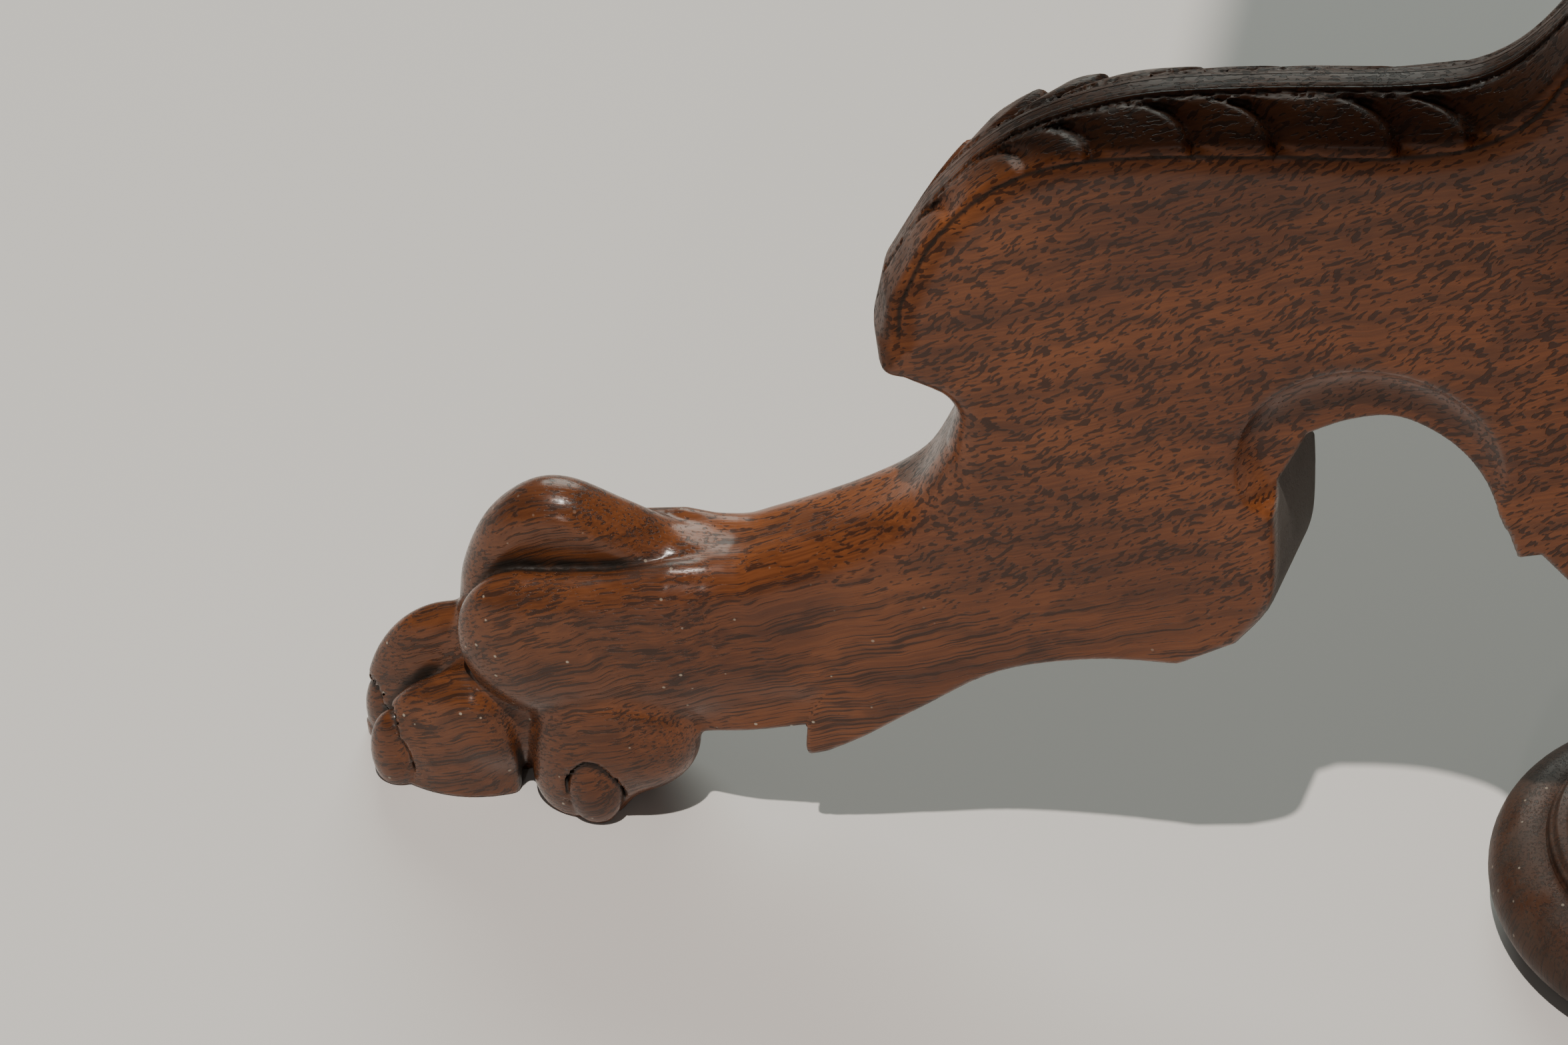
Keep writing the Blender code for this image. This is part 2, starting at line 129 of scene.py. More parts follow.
def rounded_both(a, b, r):
    """Inside both of two distances, with the edge between them rounded to radius r."""
    pa, pb = a + r, b + r
    return np.minimum(np.maximum(pa, pb), 0.0) + np.hypot(np.maximum(pa, 0), np.maximum(pb, 0)) - r


def ellipsoid(u, y, z, centre, radii):
    """About the distance to an ellipsoid's surface."""
    parts = [(c - m) / r for c, m, r in zip((u, y, z), centre, radii)]
    k = np.sqrt(sum(p * p for p in parts)) + 1e-6
    slope = np.sqrt(sum((p / r) ** 2 for p, r in zip(parts, radii))) + 1e-6
    return k * (k - 1.0) / slope


# -------- the leg's outline
def leg_sections():
    """The leg from its side: points from the column's foot round, and each stretch's edge radius."""
    ankle = spline([(396, 3), (412, 12), (418, 30), (410, 50), (403, 66), (400, 87), (392, 108),
                    (379, 122), (365, 125), (347, 118.5), (330, 111), (316, 111.5), (305, 115),
                    (274, 134), (254, 152), (244, 174)], 7)
    return [
        ([(LEG_ROOT, 130), (56, 161.5), (65, 170.5), (71.5, 168), (75.5, 178)], 1.2),
        (spline([(76.5, 179), (84, 193), (96, 206), (111, 212.6), (125, 209.5), (138, 202)], 6), 1.0),
        (spline([(145, 182), (142, 157), (142, 134), (151, 115)], 6), 4.0),
        (spline([(168, 104), (194, 101), (223, 90), (247, 69), (265, 52), (277, 42.5)], 6), 1.6),
        ([(283.3, 40), (284.5, 43), (284, 52.6)], 1.0),
        (spline([(296, 47.5), (319, 39), (328, 24), (342, 6)], 6), 2.5),
        (ankle, 14.0),
        (arc(252, 190, 11, 190, 112, 8), 10.0),
        (spline([(256, 205.5), (263.5, 207.5), (268, 218)], 6), 5.0),
        (spline([(265.3, 236), (251, 265), (229, 291), (198, 309), (160, 318), (121, 324.5),
                 (98, 333), (80, 356), (67, 386), (56, 424), (48, 445), (LEG_ROOT, 453)], 6), 2.0),
    ]


def outline():
    """The outline's points, the distance along it to each, the edge radii, and where the leaf starts."""
    points, radii, leaf_from = [], [], 0
    sections = leg_sections()
    for k, (part, radius) in enumerate(sections):
        if k == len(sections) - 2:
            leaf_from = len(points)
        points += part
        radii += [radius] * len(part)
    points = np.array(points)
    run = np.r_[0, np.cumsum(np.hypot(*np.diff(points, axis=0).T))]
    return points, run, np.array(radii), run[leaf_from]


def profile_maps(us, zs):
    """For each cell of a flat grid: signed distance to the outline, and the nearest place along it."""
    points, run = outline()[:2]
    uu, zz = np.meshgrid(us, zs, indexing="ij")
    best = np.full(uu.shape, 1e9)
    place = np.zeros(uu.shape)
    inside = np.zeros(uu.shape, bool)
    for i in range(len(points)):
        (ua, za), (ub, zb) = points[i], points[(i + 1) % len(points)]
        du, dz = ub - ua, zb - za
        t = np.clip(((uu - ua) * du + (zz - za) * dz) / (du * du + dz * dz), 0, 1)
        dist = np.hypot(uu - ua - t * du, zz - za - t * dz)
        nearer = dist < best
        best[nearer] = dist[nearer]
        place[nearer] = (run[i] + t * math.hypot(du, dz))[nearer]
        if za != zb:
            inside ^= ((za > zz) != (zb > zz)) & (uu < ua + (zz - za) * du / dz)
    return np.where(inside, -best, best), place


class Profile:
    """Looks up the outline's maps at any point."""

    def __init__(self):
        self.u0, self.z0, self.step = MAP_FROM_U, MAP_FROM_Z, MAP_STEP
        self.us = np.arange(self.u0, MAP_TO_U, self.step)
        self.zs = np.arange(self.z0, MAP_TO_Z, self.step)
        self.dist, self.place = profile_maps(self.us, self.zs)
        self.points, self.run, self.radii, self.leaf = outline()
        radius = np.interp(self.place, self.run, self.radii)
        self.radius = self.blur(radius, 5)
        border = np.interp(self.place - self.leaf, *zip(*BORDER_LINE))
        self.border = self.blur(border, 3)

    @staticmethod
    def blur(table, times):
        for _ in range(times):
            for axis in (0, 1):
                table = (np.roll(table, 2, axis) + np.roll(table, -2, axis) + 2 * table) / 4
        return table

    def look(self, table, u, z):
        """A table's value at any point, blended from the four cells round it."""
        a = np.clip((u - self.u0) / self.step, 0, len(self.us) - 1.001)
        b = np.clip((z - self.z0) / self.step, 0, len(self.zs) - 1.001)
        i, j = a.astype(int), b.astype(int)
        fa, fb = a - i, b - j
        return ((table[i, j] * (1 - fb) + table[i, j + 1] * fb) * (1 - fa)
                + (table[i + 1, j] * (1 - fb) + table[i + 1, j + 1] * fb) * fa)

    def nearest_place(self, u, z):
        """The place along the outline, blended too except where it jumps."""
        i = np.clip(np.rint((u - self.u0) / self.step).astype(int), 0, len(self.us) - 1)
        j = np.clip(np.rint((z - self.z0) / self.step).astype(int), 0, len(self.zs) - 1)
        near, even = self.place[i, j], self.look(self.place, u, z)
        return np.where(np.abs(near - even) < 2.0, even, near)


# -------- the leg's carving
# Depth of the leaf's border line below the top edge, at distances along that edge
BORDER_LINE = ((0, 10.5), (26, 9.3), (45, 6.6), (66, 4.2), (85, 3.6), (105, 4.4), (120, 6.2),
               (140, 9.6), (165, 11.5), (203, 12.6), (218, 12.8), (236, 11.5), (253, 9.0),
               (268, 5.6), (285, 4.5), (380, 4.5))
LOBE_ENDS = (-90, 78, 109, 130, 161, 184, 218, 237, 292, 335, 390)   # distances along the top edge
LOBE_TIP = 24.0               # how far a lobe's end leans forward at the midrib
LOBE_RISE = 15.0              # length over which a lobe rises out of its hollow
LEAF_SIDE = 1.15              # the border's place, in half-widths from the middle plane
MIDRIB = 0.34                 # the midrib's edge, in the same measure
FAR_DROP = 1.6                # how much further the leaf reaches down the far face
FAR_TOES = 1.14               # how much narrower the paw is carved on its far side
NEAR_REACH, WIDE_REACH, WORN_REACH = 3.0, 8.0, 2.0     # how far round a point hollows are felt
PAW_NARROWER = 10.3           # how much is taken off each face at the paw
SPUR_STEP = 1.1               # depth of the step beside the spur's edge
HEEL_SLANT = 8.5              # how far the heel's edge slants across the board


def leaf_frame(prof, u, y, z):
    """Where a point lies in the leaf: its depth, its place along, the depths of the border and the
    crown there, and its place across from 0 at the border to 1 at the midrib."""
    depth = -prof.look(prof.dist, u, z)
    along = prof.nearest_place(u, z) - prof.leaf
    border = prof.look(prof.border, u, z) * np.where(y > 0, FAR_DROP, 1.0)
    band = np.minimum(3.0, 0.35 * border)
    part = np.abs(y) / (LEG_T / 2)
    crown = (border - band) * part ** 1.9
    across = part + 0.15 * np.clip((depth - crown) / np.maximum(band, 1), 0, 1)
    q = (LEAF_SIDE - across) / (LEAF_SIDE - MIDRIB)
    return depth, along, border, crown, q


def lobes(along, q):
    """How far a lobe stands up, 1 at its top and 0 in the hollow at its start."""
    tip = LOBE_TIP * (1.0 - np.sqrt(1.0 - np.clip(q, 0, 0.985) ** 2))
    flow = along + tip + 450.0 * np.clip(q - 0.955, 0, 0.12)
    number = np.interp(flow, LOBE_ENDS, np.arange(len(LOBE_ENDS)))
    phase = number - np.floor(number)
    length = np.diff(LOBE_ENDS)[np.clip(np.floor(number).astype(int), 0, len(LOBE_ENDS) - 2)]
    rise = np.sin(0.5 * math.pi * np.clip(phase * length / LOBE_RISE, 0, 1)) ** 0.8
    fall = 1.0 - smooth(2.6, 0.2, (1.0 - phase) * length)
    return rise * fall


def half_width(u, z):
    """Half the leg's thickness: less at the paw, and a little less below the spur's edge."""
    half = LEG_T / 2 - PAW_NARROWER * smooth(300, 352, u)
    spur_edge = u - 275.5 - 8.5 * np.sqrt(np.clip((71 - z) / 18.5, 0, 1))
    return half - SPUR_STEP * smooth(-0.3, 0.5, spur_edge) * smooth(330, 290, u) * smooth(74, 62, z)


def leaf_carving(along, border, depth, across, q):
    """How much is cut away between the lobes, beside the midrib and along the border line."""
    shallow = smooth(45, 30, depth)
    leaf_on = smooth(4, 24, along) * shallow
    amount = np.minimum(3.6, 0.20 * border + 1.7) * (0.38 + 0.62 * smooth(1.04, 0.86, q))
    amount = amount * smooth(1.12, 1.04, q)
    fade = smooth(border + 0.3, np.maximum(border - 1.6, 0.55 * border), depth) * leaf_on
    cut = fade * amount * (1.0 - lobes(along, q))
    cut = cut + 1.1 * fade * smooth(0.07, 0.0, np.abs(q - 1.09)) * smooth(60, 110, along)
    line = np.clip(1.0 - np.abs(depth - border - 0.4) / 1.5, 0, 1) * smooth(22, 30, along) * shallow
    return cut + 1.2 * line * smooth(17.5, 20, across)


def leg_body(prof, u, y, z):
    """The board: its outline, its rounded edges, the crown and leaf of its top edge, and the coves."""
    across = np.abs(y)
    depth, along, border, crown, q = leaf_frame(prof, u, y, z)
    leaf_on = smooth(2, 26, along) * smooth(45, 30, depth)
    edge = -depth + crown * leaf_on / np.sqrt(1 + 0.5 * (crown / 12) * leaf_on)
    half = half_width(u, z)
    heel = HEEL_SLANT * smooth(156, 140, u) * smooth(216, 196, z)
    heel = heel * smooth(84, 115, u) * smooth(90, 108, z)
    edge = edge - heel * (y + LEG_T / 2) / LEG_T
    shape = rounded_both(edge, across - half, np.minimum(prof.look(prof.radius, u, z), half))
    shape = shape + leaf_carving(along, border, depth, across, q)
    return soft_max(shape, cove(u, across, z), 1.0)


def cove(u, across, z):
    """The scooped hollow round the arch on both faces, which ends in a gouge mark on the outer side."""
    inward = COVE_R - np.hypot(u - COVE_U, z - COVE_Z)
    deep = COVE_DEEP * (1.0 - (1.0 - np.clip(inward / COVE_WIDE, 0, 1)) ** 2.6)
    end = np.where(u > COVE_U, smooth(168, 177, z), smooth(183.5, 185.5, z))
    return np.where(inward > -1.5, across - (LEG_T / 2 - deep * end), -50.0)


def out_across(y):
    """How far out from the paw's middle, counted larger on the far side, where the paw is narrower."""
    return np.where(y > 0, y * FAR_TOES, -y)


def toe(u, y, z, centre, radii, back):
    """An ellipsoid whose side towards the column is shorter, by the factor back."""
    return ellipsoid(np.where(u < centre[0], centre[0] - (centre[0] - u) * back, u), y, z, centre, radii)


# Ellipsoids of the paw: middle (u, y, z) and radii
FRONT_TOE = (400, 0, 8), (38, 12.5, 58)
SIDE_TOE, SIDE_TOE_TOP = ((396, 17.5, 7), (34, 12, 43)), ((394, 16, 27), (15, 12, 25))
BACK_TOE, BACK_TOE_FOOT = ((348, 15.5, 35), (28, 14.5, 27)), ((359, 16, 14), (17.5, 12.5, 24))
PAW_CORE = (376, 0, 34), (36, 20, 34)
FRONT_CLAW, SIDE_CLAW = ((429, 0, 12), (8.5, 7, 17)), ((422, 18.5, 12), (9, 7, 18))
BACK_CLAW = (353.5, 25.0, 15), (9.5, 5.8, 17)
SOCKET_WIDER, SOCKET_HIGHER = 0.7, 2.0         # the groove round each claw

SIDE_KNUCKLE = (               # u, middle y, half y, middle z, half z
    (288, 2.0, 18.0, 78.0, 28.0), (310, 9.0, 13.5, 78.0, 34.0), (330, 13.5, 11.8, 76.0, 34.0),
    (350, 15.5, 11.6, 73.0, 31.0), (374, 16.5, 11.9, 70.5, 29.5))


def side_knuckle(u, across, z):
    """The long knuckle that swells out of the leg's face."""
    table = np.array(SIDE_KNUCKLE).T
    at = np.clip(u, table[0, 0], table[0, -1])
    mid_y, half_y, mid_z, half_z = (np.interp(at, table[0], row) for row in table[1:])
    k = np.sqrt(((u - at) / 25.0) ** 2 + ((across - mid_y) / half_y) ** 2 + ((z - mid_z) / half_z) ** 2)
    return (k - 1.0) * 18.0


def toes(u, y, z):
    """One toe in the middle and two at each side."""
    across = out_across(y)
    front = toe(u, y, z, *FRONT_TOE, 1.4)
    side = soft_min(toe(u, across, z, *SIDE_TOE, 2.2), ellipsoid(u, across, z, *SIDE_TOE_TOP), 6.0)
    side = rounded_both(side, across - 25.0 - 0.09 * z + 0.012 * (u - 403) ** 2 * smooth(30, 10, z), 3.0)
    back = soft_min(ellipsoid(u, across, z, *BACK_TOE), ellipsoid(u, across, z, *BACK_TOE_FOOT), 8.0)
    return soft_min(soft_min(front, side, 2.2), back, 2.4)


def claws(u, y, z, wider=0.0, higher=0.0):
    """Five claws, or with wider and higher the hollows that they stand in."""
    across = out_across(y)
    near = None
    for place, (centre, radii) in ((y, FRONT_CLAW), (across, SIDE_CLAW), (across, BACK_CLAW)):
        claw = ellipsoid(u, place, z - higher, centre, [r + wider for r in radii])
        near = claw if near is None else np.minimum(near, claw)
    return near


def leg_field(prof, u, y, z):
    """Distance to the whole leg's surface, negative inside."""
    across = out_across(y)
    knuckle = soft_min(side_knuckle(u, across, z), ellipsoid(u, y, z, *PAW_CORE), 3.0)
    whole = soft_min(leg_body(prof, u, y, z), knuckle, 3.5 - 2.2 * smooth(305, 335, u))
    whole = soft_min(whole, toes(u, y, z), 3.0)
    whole = soft_max(whole, -claws(u, y, z, SOCKET_WIDER, SOCKET_HIGHER), 0.8)
    whole = soft_min(whole, claws(u, y, z), 0.6)
    return np.maximum(np.maximum(whole, -z), LEG_ROOT - u)


# -------- surface from a field
CORNERS = [(i, j, k) for i in (0, 1) for j in (0, 1) for k in (0, 1)]


def net_points(field, axes, mixed):
    """One point in each mixed cell: the middle of the places where its edges cross the surface."""
    values = {c: field[tuple((mixed + c).T)] for c in CORNERS}
    total = np.zeros((len(mixed), 3))
    hits = np.zeros(len(mixed))
    for a in CORNERS:
        for axis in range(3):
            if a[axis] == 0:
                b = tuple(1 if n == axis else c for n, c in enumerate(a))
                fa, fb = values[a], values[b]
                cut = (fa < 0) != (fb < 0)
                t = np.where(cut, fa / np.where(cut, fa - fb, 1), 0)
                point = np.array(a, float)[None, :].repeat(len(mixed), 0)
                point[:, axis] += t
                total += np.where(cut[:, None], point, 0)
                hits += cut
    index = mixed + total / hits[:, None]
    return np.stack([np.interp(index[:, n], np.arange(field.shape[n]), axes[n]) for n in range(3)], 1)


def net_faces(sign, number, axis):
    """Quads round the grid edges along one axis that cross the surface."""
    others = [n for n in range(3) if n != axis]
    low = [slice(None)] * 3
    high = [slice(None)] * 3
    low[axis], high[axis] = slice(0, -1), slice(1, None)
    spots = np.argwhere(sign[tuple(low)] != sign[tuple(high)])
    ok = np.all([(spots[:, n] > 0) & (spots[:, n] < sign.shape[n] - 1) for n in others], axis=0)
    spots = spots[ok]
    quad = []
    for da, db in ((-1, -1), (0, -1), (0, 0), (-1, 0)):
        cell = spots.copy()
        cell[:, others[0]] += da
        cell[:, others[1]] += db
        quad.append(number[tuple(cell.T)])
    quad = np.stack(quad, 1)
    outward = sign[tuple(spots.T)]
    flip = outward if axis != 1 else ~outward
    return np.where(flip[:, None], quad, quad[:, ::-1])


def surface_net(field, axes):
    """Points and quads on the zero level of a field sampled on a grid."""
    sign = field < 0
    cells = tuple(n - 1 for n in field.shape)
    count = np.zeros(cells, np.int8)
    for i, j, k in CORNERS:
        count += sign[i:i + cells[0], j:j + cells[1], k:k + cells[2]]
    mixed = np.argwhere((count > 0) & (count < 8))
    number = np.full(cells, -1, np.int32)
    number[tuple(mixed.T)] = np.arange(len(mixed))
    faces = [net_faces(sign, number, axis) for axis in range(3)]
    return net_points(field, axes, mixed), np.concatenate(faces)


def settle(prof, points, rounds=3):
    """Moves points along the field's slope onto its zero level, in short steps."""
    e = 0.35                   # reach of the slope's measurement
    for _ in range(rounds):
        u, y, z = points.T
        f = leg_field(prof, u, y, z)
        slope = np.stack([leg_field(prof, u + e, y, z) - leg_field(prof, u - e, y, z),
                          leg_field(prof, u, y + e, z) - leg_field(prof, u, y - e, z),
                          leg_field(prof, u, y, z + e) - leg_field(prof, u, y, z - e)], 1) / (2 * e)
        size = np.maximum((slope ** 2).sum(1), 0.15)
        move = (f / size)[:, None] * slope
        points = points - np.clip(move, -0.5, 0.5) * 0.7
    normal = slope / np.sqrt(np.maximum((slope ** 2).sum(1), 1e-9))[:, None]
    return points, normal


def sculpt_leg():
    """The leg's mesh, along -X, with the numbers that its material reads."""
    prof = Profile()
    us = np.arange(LEG_ROOT - 2 * STEP + 0.01, GRID_U, STEP)
    ys = np.arange(GRID_Y[0] - STEP, GRID_Y[1] + STEP, STEP)
    zs = np.arange(-2 * STEP + 0.01, GRID_Z, STEP)
    field = leg_field(prof, us[:, None, None], ys[None, :, None], zs[None, None, :])
    points, faces = surface_net(field, (us, ys, zs))
    points, normal = settle(prof, points)
    points[:, 2] = np.maximum(points[:, 2], 0.0)
    points[:, 0] = np.maximum(points[:, 0], LEG_ROOT)
    xyz = points * (-1, 1, 1) * MM
    return xyz, faces[:, ::-1], surface_numbers(prof, points, normal)


def surface_numbers(prof, points, normal):
    """For each point: how deep in a hollow it is, how worn, how raw, and where it lies in the leaf."""
    u, y, z = points.T

    def openness(reach):
        return np.clip(leg_field(prof, *(points + reach * normal).T) / abs(reach), -1, 1)

    cavity = np.maximum(np.clip(1.0 - openness(NEAR_REACH), 0, 1),
                        0.8 * smooth(0.45, 1.0, 1.0 - openness(WIDE_REACH)))
    worn = np.clip(1.0 + openness(-WORN_REACH), 0, 1)
    depth, along, border, _, q = leaf_frame(prof, u, y, z)
    leaf_on = smooth(0, 12, along) * smooth(8, 3, depth - border)
    inner = (along < 0) & (u < 160) & (z < 214)
    raw = smooth(0.80, 0.55, np.abs(normal[:, 1])) * inner * smooth(4, 2, depth) * smooth(203, 196, z)
    return {"cavity": cavity, "worn": worn, "raw": raw, "leaf": leaf_on, "line": depth - border,
            "along": along, "across": q}


# -------- materials
class Graph:
    """A material under construction; values and sockets go in alike."""

    def __init__(self, name):
        self.mat = bpy.data.materials.new(name)
        self.mat.use_nodes = True
        self.tree = self.mat.node_tree
        self.bsdf = self.tree.nodes["Principled BSDF"]

    def put(self, kind, out=0, sockets=None, **settings):
        node = self.tree.nodes.new("ShaderNode" + kind)
        for key, value in settings.items():
            setattr(node, key, value)
        for key, value in (sockets or {}).items():
            self.feed(node.inputs[key], value)
        return node.outputs[out]

    def feed(self, socket, value):
        if isinstance(value, bpy.types.NodeSocket):
            self.tree.links.new(value, socket)
        elif value is not None:
            socket.default_value = value

    def math(self, operation, a, b=None):
        return self.put("Math", sockets={0: a, 1: b}, operation=operation)

    def mul(self, a, b):
        return self.math("MULTIPLY", a, b)

    def add(self, a, b):
        return self.math("ADD", a, b)

    def span(self, value, lo, hi, to_lo=0.0, to_hi=1.0):
        return self.put("MapRange", interpolation_type="SMOOTHSTEP", sockets={
            "Value": value, "From Min": lo, "From Max": hi, "To Min": to_lo, "To Max": to_hi})

    def mix(self, factor, a, b):
        return self.put("Mix", out=2, data_type="RGBA", sockets={0: factor, 6: a, 7: b})

    def stretch(self, vector, *scale):
        return self.put("VectorMath", operation="MULTIPLY", sockets={0: vector, 1: scale})

    def noise(self, vector, scale=1.0, detail=3.0, rough=0.5, warp=0.0):
        return self.put("TexNoise", sockets={"Vector": vector, "Scale": scale, "Detail": detail,
                                             "Roughness": rough, "Distortion": warp})

    def attribute(self, name):
        return self.put("Attribute", out=2, attribute_name=name)

    def finish(self, colour, roughness, height, depth, **others):
        """Feeds the shader its colour, roughness, relief (depth is in metres) and other sockets."""
        self.feed(self.bsdf.inputs["Base Color"], colour)
        self.feed(self.bsdf.inputs["Roughness"], roughness)
        for key, value in others.items():
            self.feed(self.bsdf.inputs[key.replace("_", " ")], value)
        bump = self.put("Bump", sockets={"Height": height, "Distance": depth, "Strength": 1.0})
        self.feed(self.bsdf.inputs["Normal"], bump)
        return self.mat


# Base colours, linear
WOOD_DARK = (0.024, 0.0085, 0.0042, 1)
WOOD_MID = (0.095, 0.0275, 0.0085, 1)
WOOD_LIGHT = (0.205, 0.0640, 0.0185, 1)
# Dark grime; on the leg it also stands for painted shade in hollows, cuts and the border groove
GRIME_AND_SHADE = (0.016, 0.011, 0.008, 1)
PAW_DARK = (0.030, 0.020, 0.014, 1)
LEAF_DARK = (0.022, 0.0105, 0.0065, 1)
RAW = (0.20, 0.182, 0.165, 1)
RAW_SCRATCH = (0.20, 0.18, 0.155, 1)
TURNED_DARK = (0.020, 0.0112, 0.0075, 1)
# Grey of dust, which on the turned wood also stands for a painted sheen
DUST_AND_SHEEN = (0.062, 0.057, 0.050, 1)
SPECK = (0.42, 0.36, 0.28, 1)
BEECH_DARK, BEECH_LIGHT = (0.36, 0.21, 0.11, 1), (0.52, 0.34, 0.20, 1)
BEECH_FLECK = (0.26, 0.14, 0.07, 1)
BRASS, BRASS_DULL = (0.52, 0.36, 0.15, 1), (0.20, 0.125, 0.055, 1)
STEEL, STEEL_DULL = (0.46, 0.45, 0.44, 1), (0.20, 0.17, 0.15, 1)
FLOOR_COLOUR, SKY_COLOUR = (0.60, 0.58, 0.56, 1), (0.86, 0.88, 0.86, 1)
SPECKS_PER_M = 150.0
LOW_GRAIN, HIGH_GRAIN = math.radians(24), math.radians(42)   # slopes of the leg's long, short marks


def grain_space(g, turn, seed):
    """Object coordinates turned so that X runs along the grain, with a slow waviness across it."""
    at = g.put("TexCoord", out=3)
    turned = g.put("Mapping", sockets={"Vector": at, "Rotation": turn,
                                       "Location": (seed, 2 * seed, 3 * seed)})
    sway = g.noise(g.stretch(turned, 9, 14, 14), detail=2)
    ripple = g.noise(g.stretch(turned, 72, 16, 16), detail=1)
    shift = g.add(g.mul(g.add(sway, -0.5), 0.012), g.mul(g.add(ripple, -0.5), 0.0055))
    shift = g.put("CombineXYZ", sockets={"Z": shift})
    return at, g.put("VectorMath", operation="ADD", sockets={0: turned, 1: shift})


def wood_figure(g, space, long_marks, short_space=None):
    """Colour, pores and height of brown wood. Its dark marks are short at long_marks 0 and long at 1."""
    fibre = g.noise(g.stretch(space, 45, 1300, 1300), detail=2)
    short = g.noise(g.stretch(short_space or space, 250, 760, 760), detail=1.5, rough=0.5)
    streak = g.noise(g.stretch(space, 24, 1050, 1050), detail=3, rough=0.6)
    marks = g.put("Mix", sockets={0: long_marks, 2: short, 3: streak})
    centred = g.put("VectorMath", operation="ADD", sockets={0: space, 1: (0.0, -0.055, 0.01)})
    rings = g.put("TexWave", wave_type="RINGS", rings_direction="X", wave_profile="SIN", sockets={
        "Vector": g.stretch(centred, 0.6, 1, 1), "Scale": 24, "Distortion": 5.5, "Detail": 2.5,
        "Detail Scale": 3.0, "Detail Roughness": 0.55})
    ripple = g.noise(g.stretch(space, 95, 60, 60), detail=2, warp=0.6)
    level = g.add(marks, g.mul(g.add(rings, -0.5), 0.04))
    level = g.add(level, g.mul(g.add(ripple, -0.5), 0.12))
    pores = g.span(level, 0.53, 0.585)
    patch = g.span(g.noise(g.stretch(space, 16, 26, 26), detail=2), 0.32, 0.70)
    lightness = g.add(g.mul(patch, 0.55), g.mul(g.span(fibre, 0.35, 0.68), 0.40))
    ground = g.mix(lightness, WOOD_MID, WOOD_LIGHT)
    ground = g.mix(g.mul(g.span(rings, 0.55, 1.0), 0.30), ground, WOOD_DARK)
    colour = g.mix(g.mul(pores, 0.82), ground, WOOD_DARK)
    height = g.add(g.mul(pores, -0.45), g.mul(fibre, 0.35))
    return colour, pores, height


def add_specks(g, at, colour, amount):
    """Scattered specks of pale dust."""
    cells = g.put("TexVoronoi", sockets={"Vector": at, "Scale": SPECKS_PER_M})
    pick = g.put("TexVoronoi", out=1, sockets={"Vector": at, "Scale": SPECKS_PER_M})
    chance = g.span(g.put("SeparateColor", sockets={0: pick}), 0.30, 0.32)
    dot = g.mul(g.mul(g.span(cells, 0.10, 0.06), chance), amount)
    return g.mix(dot, colour, SPECK)


def midrib_lines(g, leaf):
    """Fine cuts along the midrib, 1 in a cut."""
    ridge = g.attribute("across")
    bands = g.put("TexWave", wave_type="BANDS", bands_direction="X", wave_profile="SAW", sockets={
        "Vector": g.put("CombineXYZ", sockets={"X": ridge}), "Scale": 2.6, "Distortion": 0.0})
    on_midrib = g.mul(g.span(ridge, 1.02, 1.10), g.span(leaf, 0.4, 0.9))
    return g.mul(g.span(bands, 0.72, 0.98), on_midrib)


def leg_colour(g, at, colour, grime_and_shade, leaf, cuts):
    """The wood's colour with grime and painted shade in hollows, painted shade in the midrib's cuts and the
    border groove, the leaf darker towards its crown, and the raw inner wall.
    """
    # Hollows darkened: grime and painted shade together
    colour = g.mix(grime_and_shade, colour, GRIME_AND_SHADE)
    line = g.attribute("line")
    # A dark line painted along the leaf's border groove: painted shade in the groove
    border = g.mul(g.span(g.math("ABSOLUTE", g.add(line, -0.3)), 1.0, 0.2),
                   g.span(g.attribute("along"), 24, 29))
    colour = g.mix(g.mul(border, 0.85), colour, GRIME_AND_SHADE)
    # The leaf is made darker towards its crown, away from the border line
    colour = g.mix(g.mul(leaf, g.span(line, -1.2, -4.0, 0.08, 0.60)), colour, LEAF_DARK)
    # The midrib's fine cuts darkened: painted shade in the cuts, beside their bump
    colour = g.mix(g.mul(cuts, 0.8), colour, GRIME_AND_SHADE)
    scratches = g.span(g.noise(g.stretch(at, 420, 420, 26), detail=2), 0.60, 0.72)
    return g.mix(g.attribute("raw"), colour, g.mix(g.mul(scratches, 0.35), RAW, RAW_SCRATCH))


